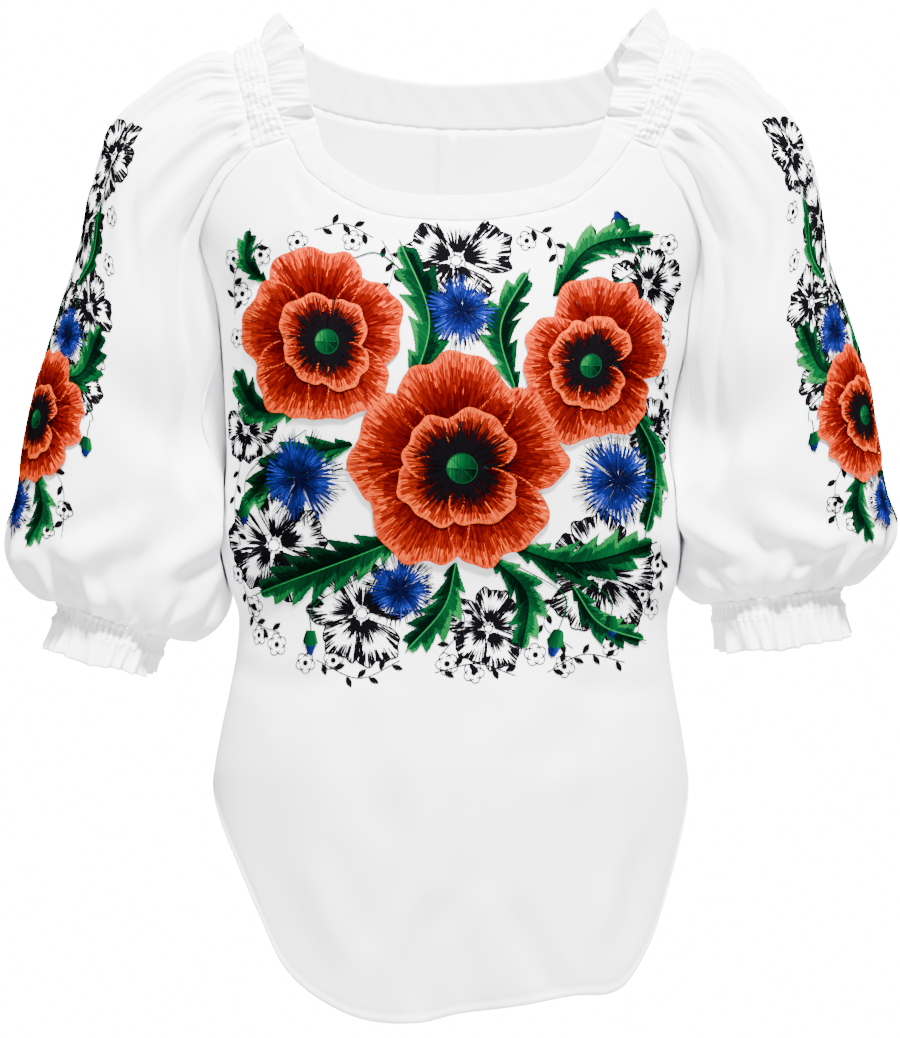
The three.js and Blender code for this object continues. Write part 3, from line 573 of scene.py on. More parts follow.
def neckband(name, face):
    """A folded band, a little thicker than the panel it is sewn to."""
    p = np.linspace(0, 1, 28 * FINE + 1)
    if face < 0:
        p = p[::-1]
    seam = band_place(face, "seam", p)
    edge = band_place(face, "edge", p)
    v = np.linspace(0, 1, NECKBAND_ROWS + 1)[:, None]
    turn, z = mix_places(seam, edge, v)
    points = body_point(turn, z)
    normals = body_normal(turn, z)
    p = p[None, :]
    soft = 0.4 * np.sin(p * 71 + 4 * v) * np.sin(math.pi * v)
    soft = soft + 0.3 * np.sin(p * 133 - 5 * v + 2 * np.sin(p * 31)) * (1 - v)
    full = 1 - (2 * v - 1) ** 10
    round_edge = 0.75 * full + soft * ease((1 - np.abs(2 * p - 1)) * 20)
    pucker = (0.35 if face > 0 else 0.12) * (1 + 0.5 * np.sin(p * 400 + 3 * np.sin(p * 57)))
    crease = -pucker * np.exp(-(((v - 0.13) / 0.05) ** 2))
    points = points + normals * (round_edge + crease)[..., None]
    return shell(name, points, thick=CLOTH + 0.9 * full[..., None]), (points, normals)


# ---------- the shoulders ----------
def shoulder_ends(hand):
    first = 0.0 if hand == "left" else 1.0
    return {
        "out": (raglan_place(hand, 1, 1.0), raglan_place(hand, -1, 1.0)),
        "root": (band_place(1, "seam", first), band_place(-1, "seam", first)),
        "tip": (band_place(1, "edge", first), band_place(-1, "edge", first)),
    }


def shoulder_lines(hand):
    """The three shoulder lines as curves of s: 0 at the front end, 1 at the back end."""
    lines = {}
    table = SHOULDERS[hand]
    for line, (front, back) in shoulder_ends(hand).items():
        a, b = body_point(*front), body_point(*back)
        s = [0, *table.column("s"), 1]
        x, y, z = (table.column(f"{line}_{axis}") for axis in "xyz")
        columns = [SIDE[hand] * np.array(x), y, z]
        curves = [smooth_curve(s, [a[i], *columns[i], b[i]]) for i in range(3)]
        lines[line] = lambda t, curves=curves: np.stack([curve(t) for curve in curves], axis=-1)
    return lines


SHOULDER_LINES = {hand: shoulder_lines(hand) for hand in SIDE}


def shoulder_normal(hand, low, high, s):
    lines = SHOULDER_LINES[hand]
    run = lines[low](clamp(s + 0.02, 0, 1)) - lines[low](clamp(s - 0.02, 0, 1))
    inward = lines[high](s) - lines[low](s)
    return unit(np.cross(inward, run) * -SIDE[hand])


def shoulder_strip(hand, low, high, columns, rows, lift):
    """Points of a strip over the shoulder, moved along the normal by lift(s, v). Its ends lie on the body."""
    s = np.linspace(0, 1, columns + 1)[None, :]
    v = np.linspace(0, 1, rows + 1)[:, None]
    lines = SHOULDER_LINES[hand]
    points = mix(lines[low](s), lines[high](s), v[..., None])
    ends = shoulder_ends(hand)
    for step, column in ((0, 0), (1, -1)):
        turn, z = mix_places(ends[low][step], ends[high][step], v[:, 0])
        near = ease(1 - np.abs(s[0] - step) * 40)[None, :, None]
        points = mix(points, points + (body_point(turn, z) - points[:, column])[:, None, :], near)
    normals = np.broadcast_to(shoulder_normal(hand, low, high, s), points.shape)
    return points + normals * lift(s, v)[..., None], normals


def shoulder_gathers(hand, s, v):
    """Height of the cloth that six rows of elastic gather into fine uneven ridges, pinched at each row."""
    phase = 0.6 if hand == "left" else 2.2
    wander = s + 0.007 * np.sin(29 * s + phase + 3 * v) + 0.005 * np.sin(71 * s + 6 * v)
    wander = wander + 0.003 * np.sin(133 * s - 11 * v)
    quiet = ease(s / 0.03) * ease((1 - s) / 0.03)
    rows = 0.5 - 0.5 * np.cos(TAU * (v * 5 + 0.5))
    ridge = np.abs(np.sin(math.pi * HEAD_GATHERS * wander)) ** 0.8
    small = np.abs(np.sin(math.pi * HEAD_GATHERS * 1.55 * wander + 2.5 * np.sin(8 * v + 9 * s)))
    uneven = 1 + 0.4 * np.sin(47 * s + 5 * v + phase) + 0.2 * np.sin(19 * s - 9 * v)
    puff = 2.6 * ridge * uneven + 0.9 * small
    return quiet * (puff * (1 - 0.24 * rows) - 0.2 * rows - 0.9)


def shoulder_shirring(hand):
    """The gathered strip between the sleeve's head and the frill."""
    def lift(s, v):
        gathers = shoulder_gathers(hand, s, v) * ease((1 - v) / 0.06) * mix(0.4, 1, ease(v / 0.14))
        return 1.2 * np.sin(math.pi * v) + gathers

    points, normals = shoulder_strip(hand, "out", "root", SHIRRING_COLUMNS, SHIRRING_ROWS, lift)
    piece = shell(f"shirring_{hand}", points, flip=hand == "left", thick=0.5)
    return piece, (points, normals)


def shoulder_frill(hand):
    """The heading above the elastic: tight gathers at its root that open to soft waves."""
    waves = 9
    phase = 0.4 if hand == "left" else 1.3

    def lift(s, v):
        quiet = ease(s / 0.08) * ease((1 - s) / 0.08)
        uneven = s + 0.014 * np.sin(15 * s + phase) + 0.009 * np.sin(41 * s + 2 * phase)
        top = np.exp(-(((s - 0.58) / 0.16) ** 2))
        height = 3.8 * (1 + 0.4 * np.sin(13 * s + 2 * phase) + 0.25 * top)
        swing = np.sin(TAU * waves * uneven + 1.4 * v * np.sin(9 * s + phase))
        swing = swing + 0.4 * np.sin(TAU * waves * 1.72 * uneven + 2 * v + phase)
        fine = np.abs(np.sin(math.pi * HEAD_GATHERS * (s + 0.007 * np.sin(29 * s + phase)))) - 0.6
        gather = 2.0 * fine * np.exp(-v / 0.3) + 0.9 * np.sin(TAU * 37 * s + 5 * v) * np.exp(-v / 0.6)
        sag = 1.2 * np.sin(math.pi * v)
        return quiet * (height * v**0.8 * swing + gather * ease(v / 0.05) + sag)

    points, normals = shoulder_strip(hand, "root", "tip", FRILL_COLUMNS, FRILL_ROWS, lift)
    piece = shell(f"frill_{hand}", points, flip=hand == "left", thick=0.55)
    return piece, (points, normals)


# ---------- the sleeves ----------
def tube_curves(table):
    return {name: table.along("t", name) for name in TUBE_COLUMNS.split()[1:]}


def tube_point(hand, curves, t, turn):
    """A place on a sleeve's plain form: t runs down it, and turn runs round it from the inner side."""
    c = np.cos(TAU * turn)
    s = np.sin(TAU * turn)
    power = SLEEVE_SQUARENESS
    round_ = (np.abs(c) ** power + np.abs(s) ** power) ** (-1 / power)
    share = 0.5 - 0.5 * c * round_
    egg = 1 - curves["egg"](t) * (0.5 + 0.5 * c)
    y = curves["mid_y"](t) - curves["deep"](t) * s * round_ * egg
    x = SIDE[hand] * mix(curves["in_x"](t), curves["out_x"](t), share)
    z = mix(curves["in_z"](t), curves["out_z"](t), share)
    return np.stack(np.broadcast_arrays(x, y, z), axis=-1)


def clear_of_body(points, clearance):
    """Moves the points that are too near the body outward."""
    x, y, z = points[..., 0], points[..., 1], points[..., 2]
    half = half_width(x, z) + clearance
    depth = np.where(y < 0, DEPTH_FRONT(z), DEPTH_BACK(z)) + clearance
    inside = (np.abs(x / half) ** SQUARENESS + np.abs(y / depth) ** SQUARENESS) ** (1 / SQUARENESS)
    inside = np.where(z > BACK_CORNER_Z, 1, clamp(inside, 1e-3, 1))
    return np.stack([x / inside, y / inside, z], axis=-1)


def armhole(hand):
    """The sleeve's upper edge: up the front raglan seam, over the shoulder and down the back seam."""
    rise = np.linspace(0, 1, RAGLAN_COLUMNS + 1)
    over = np.linspace(0, 1, 24 * SLEEVE_FINE + 1)[1:-1]
    front = raglan_place(hand, 1, rise)
    back = raglan_place(hand, -1, rise[::-1][:-1])
    points = np.concatenate([body_point(*front), SHOULDER_LINES[hand]["out"](over), body_point(*back)])
    normals = np.concatenate([
        body_normal(*front), shoulder_normal(hand, "out", "root", over), body_normal(*back),
    ])
    gathers = np.zeros(len(points))
    gathers[len(rise):len(rise) + len(over)] = shoulder_gathers(hand, over, 0.0)
    return points + normals * (0.12 + gathers)[:, None]


def head_turn(columns):
    """How far round the sleeve each column of its upper edge lies."""
    j = np.arange(columns)
    back = columns - RAGLAN_COLUMNS
    front = mix(0, FRONT_CORNER_TURN, j / RAGLAN_COLUMNS)
    over = mix(FRONT_CORNER_TURN, BACK_CORNER_TURN, (j - RAGLAN_COLUMNS) / (back - RAGLAN_COLUMNS))
    rear = mix(BACK_CORNER_TURN, 1, (j - back) / RAGLAN_COLUMNS)
    return np.where(j <= RAGLAN_COLUMNS, front, np.where(j <= back, over, rear))


def grid_normals(points, ring, side):
    wide = np.roll(points, -1, 1) - np.roll(points, 1, 1)
    if not ring:
        wide[:, 0] = points[:, 1] - points[:, 0]
        wide[:, -1] = points[:, -1] - points[:, -2]
    high = np.gradient(points, axis=0)
    return unit(np.cross(wide, high) * side)


def sleeve_relief(hand, t, turn, over):
    """Folds and gathers of a sleeve: over is 1 where its head meets the shirring."""
    x, z = t * SLEEVE_LENGTH, turn * SLEEVE_GIRTH
    folds = sum(f["depth"] * fold_amount(x, z, f["t1"] * SLEEVE_LENGTH, f["w1"] * SLEEVE_GIRTH,
                                         f["t2"] * SLEEVE_LENGTH, f["w2"] * SLEEVE_GIRTH, f["bow"], f["wide"])
                for f in SLEEVE_FOLDS.rows)
    phase = 0.0 if hand == "left" else 1.9
    share = (turn - 0.26) / 0.44
    near = 1 + 0.45 * np.sin(turn * 43 + phase) + 0.35 * np.sin(turn * 97 + 2 * phase)
    fine = np.abs(np.sin(math.pi * HEAD_GATHERS * share + 0.7 * np.sin(turn * 61) + 3 * t)) - 0.6
    broad = np.sin(TAU * 10 * share + 1.5 * np.sin(turn * 37 + phase) + 2.6 * t)
    long_ = np.sin(TAU * 5.5 * share + 1.2 * np.sin(turn * 23 + 2 * phase) + 3.4 * t)
    head = over * (2.2 * fine * np.exp(-t / (0.03 * near)) * ease(t / 0.015) + ease(t / 0.02) * (
        2.7 * broad * np.exp(-t / (0.08 * near)) + 3.1 * long_ * np.exp(-t / (0.15 * near))))
    cuff = ease((t - 0.8) / 0.18)
    wander = turn + 0.006 * np.sin(TAU * 5 * turn + phase)
    pinched = np.abs(np.sin(math.pi * 32 * wander)) - 0.6
    gathers = 3.0 * pinched * cuff**1.6 * ease((1.01 - t) / 0.015)
    bag = ease((t - 0.66) / 0.26) * ease((1.0 - t) / 0.05)
    wide_swags = 2.1 * np.sin(TAU * 9 * wander + 5 * t + phase)
    swags = bag * (wide_swags + 1.8 * np.sin(TAU * 16 * wander - 3 * t))
    free = ease(turn * 12) * ease((1 - turn) * 12)
    soft = 1.6 * np.sin(TAU * 3 * turn + 5 * t + phase) * np.sin(7 * t + 2 * phase) * ease(t / 0.3)
    return head + gathers + swags * mix(0.3, 1, free) + free * (soft - folds)


def sleeve_grid(hand):
    curves = tube_curves(SLEEVES[hand])
    head = armhole(hand)
    columns = len(head)
    at_head = head_turn(columns)
    level = np.arange(columns) / columns
    step = np.linspace(0, 1, SLEEVE_ROWS + 1)
    t = mix(step, step**1.5, 0.5)[:, None]
    turn = mix(at_head[None, :], level[None, :], ease(t * 1.2))
    start = head - tube_point(hand, curves, 0.0, at_head)
    fade = (1 - clamp(t / HEAD_REACH, 0, 1)) ** HEAD_FADE
    points = tube_point(hand, curves, t, turn) + start[None] * fade[..., None]
    points[0] = head
    clearance = mix(HEAD_REST, SLEEVE_REST, ease(t * 10))
    points[1:] = clear_of_body(points, clearance)[1:]
    normals = grid_normals(points, True, -SIDE[hand])
    j = np.arange(columns)
    over = ease((j - RAGLAN_COLUMNS) / SLEEVE_FINE / 2 + 0.5)
    over = over * ease((columns - RAGLAN_COLUMNS - j) / SLEEVE_FINE / 2 + 0.5)
    relief = sleeve_relief(hand, t, turn, over[None, :])
    relief[0] = 0
    points = points + normals * relief[..., None]
    points[1:] = clear_of_body(points, clearance)[1:]
    return points


def sleeve(hand):
    points = sleeve_grid(hand)
    level = np.arange(points.shape[1]) / points.shape[1]
    top = cuff_ring(hand, 0.0, level, 0.5)
    start, length = 0.965, 0.035  # share of the sleeve that runs into the cuff's ring
    blend = ease((np.linspace(0, 1, points.shape[0]) - start) / length)[:, None, None]
    points = mix(points, top[None], blend)
    piece = shell(f"sleeve_cloth_{hand}", points, ring=True, flip=hand == "right")
    return piece, (points, grid_normals(points, True, -SIDE[hand]))


# ---------- the cuffs ----------
def cuff_ring(hand, v, turn, lift=0.0):
    """Places on a cuff's plain form: v is 0 at the sleeve, 1 below the elastic and 2 at the free end."""
    curves = tube_curves(CUFFS[hand])
    points = tube_point(hand, curves, v, turn)
    middle = 0.5 * (tube_point(hand, curves, v, 0.0) + tube_point(hand, curves, v, 0.5))
    return points + unit(points - middle) * np.asarray(lift)[..., None]


def elastic_ridges(hand, turn, v):
    """Close ridges of gathered cloth round a wrist, with sharp valleys between them."""
    phase = 0.3 if hand == "left" else 1.5
    wander = turn + 0.002 * np.sin(TAU * 7 * turn + phase + 3 * v)
    wander = wander + 0.0012 * np.sin(TAU * 19 * turn - 6 * v)
    uneven = 1 + 0.3 * np.sin(TAU * 11 * turn + 5 * v)
    return 2.5 * uneven * np.abs(np.sin(math.pi * CUFF_RIDGES * wander)) ** 0.8


def cuff_grid(columns, rows):
    """How far round the wrist and how far down the piece each point of a cuff lies."""
    return np.linspace(0, 1, columns + 1)[:-1][None, :], np.linspace(0, 1, rows + 1)[:, None]


def cuff_shirring(hand):
    """Cloth gathered by four rows of elastic at the wrist end of the sleeve."""
    turn, v = cuff_grid(CUFF_COLUMNS, CUFF_ROWS)
    rows = 0.5 - 0.5 * np.cos(TAU * (v * 3 + 0.5))
    lift = 0.4 - 2.4 * np.sin(math.pi * v) ** 0.5 + elastic_ridges(hand, turn, v) * (1 - 0.25 * rows)
    points = cuff_ring(hand, v, turn, lift)
    piece = shell(f"cuff_elastic_{hand}", points, ring=True, flip=hand == "right", thick=0.5)
    return piece, (points, grid_normals(points, True, -SIDE[hand]))


def cuff_frill(hand):
    """The free end of the cuff: narrow pleats that open towards the hem."""
    waves = 23
    phase = 0.7 if hand == "left" else 2.1
    turn, step = cuff_grid(CUFF_FRILL_COLUMNS, CUFF_FRILL_ROWS)
    v = mix(1.0, 2.0, step)
    uneven = turn + 0.006 * np.sin(TAU * (3 * turn + phase)) + 0.003 * np.sin(TAU * 11 * turn)
    height = 3.3 * (1 + 0.4 * np.sin(TAU * (4 * turn + phase)))
    swing = np.sin(TAU * waves * uneven + 1.2 * step * np.sin(TAU * 5 * turn))
    swing = swing + 0.35 * np.sin(TAU * 9 * uneven + phase)
    gathers = elastic_ridges(hand, turn, 1.0) * np.exp(-step / 0.3)
    points = cuff_ring(hand, v, turn, step * height * swing + gathers)
    front_drop = -np.clip(-points[..., 1], 0, None) / 45 * 3.2 * step
    points[..., 2] += front_drop + 0.9 * step * np.sin(TAU * 6 * turn + phase)
    piece = shell(f"cuff_frill_cloth_{hand}", points, ring=True, flip=hand == "right", thick=0.55)
    return piece, (points, grid_normals(points, True, -SIDE[hand]))


# ---------- meshes ----------
def make_mesh(name, points, quads, material, colours=None, uvs=None):
    """A smooth mesh object from points in millimetres and four-sided faces."""
    mesh = bpy.data.meshes.new(name)
    count = len(quads)
    mesh.vertices.add(len(points))
    mesh.vertices.foreach_set("co", (np.asarray(points, np.float32) * 0.001).ravel())
    mesh.loops.add(4 * count)
    mesh.loops.foreach_set("vertex_index", np.asarray(quads, np.int32).ravel())
    mesh.polygons.add(count)
    mesh.polygons.foreach_set("loop_start", np.arange(0, 4 * count, 4, dtype=np.int32))
    mesh.polygons.foreach_set("use_smooth", np.ones(count, bool))
    mesh.update(calc_edges=True)
    if colours is not None:
        layer = mesh.color_attributes.new("thread", "FLOAT_COLOR", "POINT")
        rgba = np.concatenate([colours, np.ones((len(colours), 1))], axis=1)
        layer.data.foreach_set("color", rgba.astype(np.float32).ravel())
    if uvs is not None:
        layer = mesh.uv_layers.new(name="OFBake")
        layer.data.foreach_set("uv", np.asarray(uvs, np.float32)[np.asarray(quads).ravel()].ravel())
    mesh.materials.append(material)
    piece = bpy.data.objects.new(name, mesh)
    bpy.context.scene.collection.objects.link(piece)
    return piece


def shell(name, points, ring=False, flip=False, thick=CLOTH, normals=None):
    """A thin closed sheet of cloth on a grid of outer points."""
    rows, columns = points.shape[:2]
    side = -1 if flip else 1
    if normals is None:
        normals = grid_normals(points, ring, side)
    both = np.concatenate([points.reshape(-1, 3), (points - normals * thick).reshape(-1, 3)])
    layer = rows * columns
    i = np.arange(rows - 1)[:, None]
    j = np.arange(columns if ring else columns - 1)[None, :]
    at = lambda a, b: a * columns + b % columns
    a, b, c, d = (np.broadcast_to(q, (rows - 1, j.shape[1])).ravel()
                  for q in (at(i, j), at(i, j + 1), at(i + 1, j + 1), at(i + 1, j)))
    faces = [np.stack([a, b, c, d], 1), layer + np.stack([d, c, b, a], 1)]
    j = j.ravel()
    low, high = at(0, j), at(0, j + 1)
    faces.append(np.stack([high, low, layer + low, layer + high], 1))
    low, high = at(rows - 1, j), at(rows - 1, j + 1)
    faces.append(np.stack([low, high, layer + high, layer + low], 1))
    if not ring:
        i = i.ravel()
        for column, order in ((0, 1), (columns - 1, -1)):
            down, up = at(i, column), at(i + 1, column)
            faces.append(np.stack([down, up, layer + up, layer + down][::order], 1))
    quads = np.concatenate(faces)
    if flip:
        quads = quads[:, ::-1]
    return make_mesh(name, both, quads, POPLIN)


# ---------- colours and materials ----------
def srgb(*values):
    """Linear colour of a display colour given from 0 to 255."""
    v = np.asarray(values, float) / 255
    return np.where(v <= 0.04045, v / 12.92, ((v + 0.055) / 1.055) ** 2.4)


class Wire:
    """A value in a node tree: sums and products of wires and numbers add their Math nodes."""

    def __init__(self, tree, socket):
        self.tree = tree
        self.socket = socket

    def math(self, operation, *values):
        return self.tree.add("ShaderNodeMath", {"operation": operation}, dict(enumerate(values)))["Value"]

    def __add__(self, other):
        return self.math("ADD", self, other)

    def __mul__(self, other):
        return self.math("MULTIPLY", self, other)

    __radd__ = __add__
    __rmul__ = __mul__


class Nodes:
    """The node tree of one material or of the world."""

    def __init__(self, owner):
        owner.use_nodes = True
        self.owner = owner
        self.tree = owner.node_tree

    def add(self, kind, settings=None, inputs=None):
        """A new node with its settings, then its inputs; gives its outputs by name."""
        made = self.tree.nodes.new(kind)
        for key, value in (settings or {}).items():
            setattr(made, key, value)
        for key, value in (inputs or {}).items():
            self.feed(made.inputs[key], value)
        return {out.name: Wire(self, out) for out in made.outputs}

    def feed(self, socket, value):
        if isinstance(value, Wire):
            self.tree.links.new(value.socket, socket)
        else:
            socket.default_value = value

    def finish(self, node, inputs):
        """Sets the inputs of the node that is there from the start."""
        for key, value in inputs.items():
            self.feed(self.tree.nodes[node].inputs[key], value)
        return self.owner


def surface_material(name, make):
    nodes = Nodes(bpy.data.materials.new(name))
    return nodes.finish("Principled BSDF", make(nodes))


def poplin(nodes):
    """White cotton poplin: soft, faintly woven, with a light sheen."""
    place = nodes.add("ShaderNodeTexCoord")["Object"]
    weave = nodes.add("ShaderNodeTexNoise", inputs={"Vector": place, "Scale": 1500.0, "Detail": 2.0})["Fac"]
    slub = nodes.add("ShaderNodeTexNoise", inputs={"Vector": place, "Scale": 95.0, "Detail": 3.0})["Fac"]
    height = 1.6 * slub + weave
    bump = nodes.add("ShaderNodeBump", inputs={"Height": height, "Strength": 0.16, "Distance": 0.0004})
    return {
        "Base Color": (*srgb(246, 246, 248), 1), "Roughness": 0.72, "Normal": bump["Normal"],
        "Specular IOR Level": 0.25, "Sheen Weight": 0.1, "Sheen Roughness": 0.5,
    }


def plain(colour, roughness):
    """One colour without a pattern."""
    return lambda nodes: {"Base Color": (*srgb(*colour), 1), "Roughness": roughness}


def stranded_thread(nodes):
    """Embroidery thread in each stitch's own colour."""
    colour = nodes.add("ShaderNodeAttribute", {"attribute_name": "thread"})["Color"]
    return {"Base Color": colour, "Roughness": 0.6, "Specular IOR Level": 0.0}


POPLIN = surface_material("white_poplin", poplin)
SEWING = surface_material("sewing_thread", plain((236, 236, 240), 0.55))
THREAD = surface_material("embroidery_thread", stranded_thread)


# ---------- stitches ----------
class Embroidery:
    """Straight stitches drawn on a flat plan in millimetres: ends, width, colour and height."""

    def __init__(self):
        self.parts = []

    def add(self, start, end, width, colour, level):
        count = len(start)
        self.parts.append((
            np.asarray(start, float), np.asarray(end, float), np.broadcast_to(width, (count,)),
            np.broadcast_to(colour, (count, 3)), np.broadcast_to(level, (count,)),
        ))

    def line(self, points, width, colour, level, stitch=2.6):
        """A line of short overlapping stitches along a path."""
        points = np.asarray(points, float)
        lengths = run_along(points)
        count = max(int(lengths[-1] / stitch), 1)
        path = read_path(points, lengths, np.linspace(0, lengths[-1], count + 1))
        overlap = 0.12 * (path[1:] - path[:-1])
        shade = 1 + RANDOM.normal(0, 0.06, (count, 1))
        colours = np.clip(np.asarray(colour) * shade, 0, 1)
        self.add(path[:-1] - overlap, path[1:] + overlap, width, colours, level)

    def arrays(self):
        return [np.concatenate([part[i] for part in self.parts]) for i in range(5)]


# a stitch is an arched strip: three points across at its start, middle and end
ROW_ACROSS = np.array([-0.5, 0.0, 0.5])
STITCH_LIFT = np.array([[0.0, 0.05, 0.0], [0.06, 0.26, 0.06], [0.0, 0.05, 0.0]])
STITCH_POINTS = 9
STITCH_CELLS = np.array([[0, 1, 4, 3], [1, 2, 5, 4], [3, 4, 7, 6], [4, 5, 8, 7]])
STITCH_BASE = 0.25  # how high embroidery lies on the cloth


def stitch_quads(count):
    return (STITCH_POINTS * np.arange(count)[:, None, None] + STITCH_CELLS).reshape(-1, 4)


def lay_stitches(name, work, surface, taper=0.84):
    """Meshes each stitch that is wholly on the cloth as a small arched strip; taper narrows its ends."""
    start, end, width, colour, level = work.arrays()
    order = np.argsort(level, kind="stable")
    start, end, width, colour, level = (a[order] for a in (start, end, width, colour, level))
    along = end - start
    length = np.linalg.norm(along, axis=1, keepdims=True)
    across = np.stack([-along[:, 1], along[:, 0]], axis=1) / np.maximum(length, 1e-6)
    stations = np.stack([start, 0.5 * (start + end), end], axis=1)
    spread = np.array([taper, 1.0, taper])[None, :, None] * width[:, None, None] * ROW_ACROSS[None, None, :]
    plan = stations[:, :, None, :] + across[:, None, None, :] * spread[..., None]
    points, normals = surface(plan[..., 0], plan[..., 1])
    lift = STITCH_BASE + level[:, None, None] + STITCH_LIFT[None] * np.clip(length / 4, 0.5, 1)[:, :, None]
    points = points + normals * lift[..., None]
    whole = np.isfinite(points).all(axis=(1, 2, 3))
    plan, points, normals, colour = plan[whole], points[whole], normals[whole], colour[whole]
    quads = stitch_quads(len(points))
    flat = plan.reshape(-1, 2)
    low, high = flat.min(0), flat.max(0)
    uvs = (flat - low) / (high - low).max() * 0.98 + 0.01
    colours = np.repeat(colour, STITCH_POINTS, axis=0)
    vertices = points.reshape(-1, 3)
    # the corners of a face run so that it looks outward
    a = vertices[quads[:, 1]] - vertices[quads[:, 0]]
    b = vertices[quads[:, 3]] - vertices[quads[:, 0]]
    outward = np.einsum("ij,ij->i", np.cross(a, b), normals.reshape(-1, 3)[quads[:, 0]])
    quads = np.where((outward < 0)[:, None], quads[:, ::-1], quads)
    return make_mesh(name, vertices, quads, THREAD, colours, uvs)


def polar(centre, radius, angle):
    x, z = centre[0] + radius * np.cos(angle), centre[1] + radius * np.sin(angle)
    return np.stack(np.broadcast_arrays(x, z), -1)


def curve_path(*points, count=24):
    """A smooth path through plan points."""
    points = np.asarray(points, float)
    s = np.linspace(0, 1, len(points))
    t = np.linspace(0, 1, count)
    if len(points) == 2:
        return mix(points[0], points[1], t[:, None])
    return np.stack([smooth_curve(s, points[:, i])(t) for i in (0, 1)], axis=1)


def ramp(stops, at):
    """Colour at a place from 0 to 1 between display colours."""
    marks = [stop[0] for stop in stops]
    colours = np.stack([srgb(*stop[1]) for stop in stops])
    return np.stack([np.interp(at, marks, colours[:, i]) for i in range(3)], axis=-1)


POPPY_OUTER = [(0, (14, 1, 2)), (0.2, (24, 1, 2)), (0.4, (44, 2, 2)), (0.6, (63, 3, 2)),
               (0.79, (86, 8, 3)), (0.92, (130, 27, 6)), (1, (182, 62, 17))]
POPPY_INNER = [(0, (5, 1, 2)), (0.26, (14, 1, 2)), (0.48, (38, 2, 2)), (0.7, (72, 5, 2)),
               (0.88, (122, 26, 6)), (1, (184, 66, 19))]
LEAF_TONES = [(0, (1, 9, 5)), (0.4, (3, 34, 16)), (0.75, (5, 62, 28)), (1, (20, 90, 42))]
BLUE_TONES = [(0, (3, 3, 18)), (0.4, (7, 10, 46)), (0.75, (12, 19, 78)), (1, (28, 42, 126))]
BLACK = srgb(7, 6, 8)
STEM_GREEN = srgb(4, 46, 20)


def squeeze(x, z, middle, squash, tilt):
    """Places at the offsets x and z from a middle, narrowed along a tilted line."""
    c, s = math.cos(tilt), math.sin(tilt)
    u, v = (x * c + z * s) * squash, -x * s + z * c
    return np.stack([middle[0] + u * c - v * s, middle[1] + u * s + v * c], -1)


def petal(work, centre, aim, reach, spread, start, level, stops, seed, squash, tilt, hidden=0.0):
    """A poppy petal in long and short stitches that fan out from the heart."""
    random = np.random.default_rng(seed)
    w1, w2 = random.uniform(0, 6, 2)
    rim = lambda a: reach * (1 - 0.15 * a**2 - 0.36 * np.abs(a) ** 6) * (
        1 + 0.035 * np.sin(6.5 * a + w1) + 0.022 * np.sin(14 * a + w2))
    fan = lambda rho: 0.7 + 0.3 * rho**0.8

    def place(a, rho):
        radius = start + (rim(a) - start) * rho
        angle = aim + a * spread * fan(rho) + 0.06 * np.sin(3.2 * a + w1) * rho
        return squeeze(radius * np.cos(angle), radius * np.sin(angle), centre, squash, tilt)

    rows = max(int((reach - start) / 5.2), 2)
    veins = random.uniform(0, 1, 64)
    for k in range(rows + 1):
        rho = min((k + 0.5) / rows, 1.0)
        count = max(int(2 * spread * fan(rho) * (start + (reach - start) * rho) * squash**0.5 / 0.72), 6)
        a = np.linspace(-1, 1, count) + random.normal(0, 0.3 / count, count)
        rho0 = clamp((k - random.uniform(0.1, 0.75, count)) / rows, 0, 0.97)
        rho1 = clamp((k + 1 + random.uniform(-0.25, 0.45, count)) / rows, 0.02, 1)
        keep = rho1 - rho0 > 0.25 / rows
        if k == rows:
            rho0 = 1 - random.uniform(0.35, 0.8, count) / rows
            rho1 = np.ones(count)
            keep = np.ones(count, bool)
        keep = keep & (start + (rim(a) - start) * rho1 > hidden)
        vein = veins[np.clip(((a + 1) * 31).astype(int), 0, 63)]
        middle = 0.5 * (rho0 + rho1)
        tone = middle + random.normal(0, 0.085, count) - 0.3 * (vein - 0.45) * (1.15 - middle)
        # darker towards a petal's sides, less so at its rim: dark thread between the petals, and painted
        # shade where a petal goes under its neighbour
        tone = tone - 0.4 * ease((np.abs(a) - 0.7) / 0.3) * (1 - 0.8 * ease((middle - 0.9) / 0.1))
        tone = np.where(k == rows, 0.96 + random.normal(0, 0.03, count), tone)
        colour = ramp(stops, clamp(tone, 0, 1)) * (1 + random.normal(0, 0.05, (count, 1)))
        height = level + 0.35 * middle + 0.02 * k + 0.12 * np.sin(6.5 * a + w1) * middle
        work.add(place(a, rho0)[keep], place(a, rho1)[keep], 1.0, np.clip(colour, 0, 1)[keep], height[keep])


# where a petal points, its length and its spread
OUTER_PETALS = (
    (0.35, 0.96, 0.84), (1.62, 1.0, 0.88), (2.95, 0.95, 0.84), (4.1, 0.98, 0.84), (5.25, 0.94, 0.84),
)


def poppy(work, centre, size, level, seed, squash, tilt, heart):
    """A full poppy: wide outer petals, a smaller inner ring, and a green heart with a black fringe."""
    random = np.random.default_rng(seed)
    centre = np.asarray(centre, float)
    for k, (aim, share, spread) in enumerate(OUTER_PETALS):
        petal(work, centre, aim, size * share, spread, 0.1 * size, level + 0.1 * k, POPPY_OUTER,
              seed * 10 + k, squash, tilt, hidden=0.36 * size)
    middle = centre + np.asarray(heart)
    for k, aim in enumerate((0.9, 2.4, 3.8, 5.4)):
        reach = size * (0.56 + 0.05 * random.uniform(-1, 1))
        aim = aim + 0.15 * random.uniform(-1, 1)
        petal(work, middle, aim, reach, 1.0, 0.09 * size, level + 0.75 + 0.08 * k, POPPY_INNER,
              seed * 10 + 5 + k, squash, tilt)
    poppy_heart(work, middle, size, level + 1.35, random, squash, tilt)


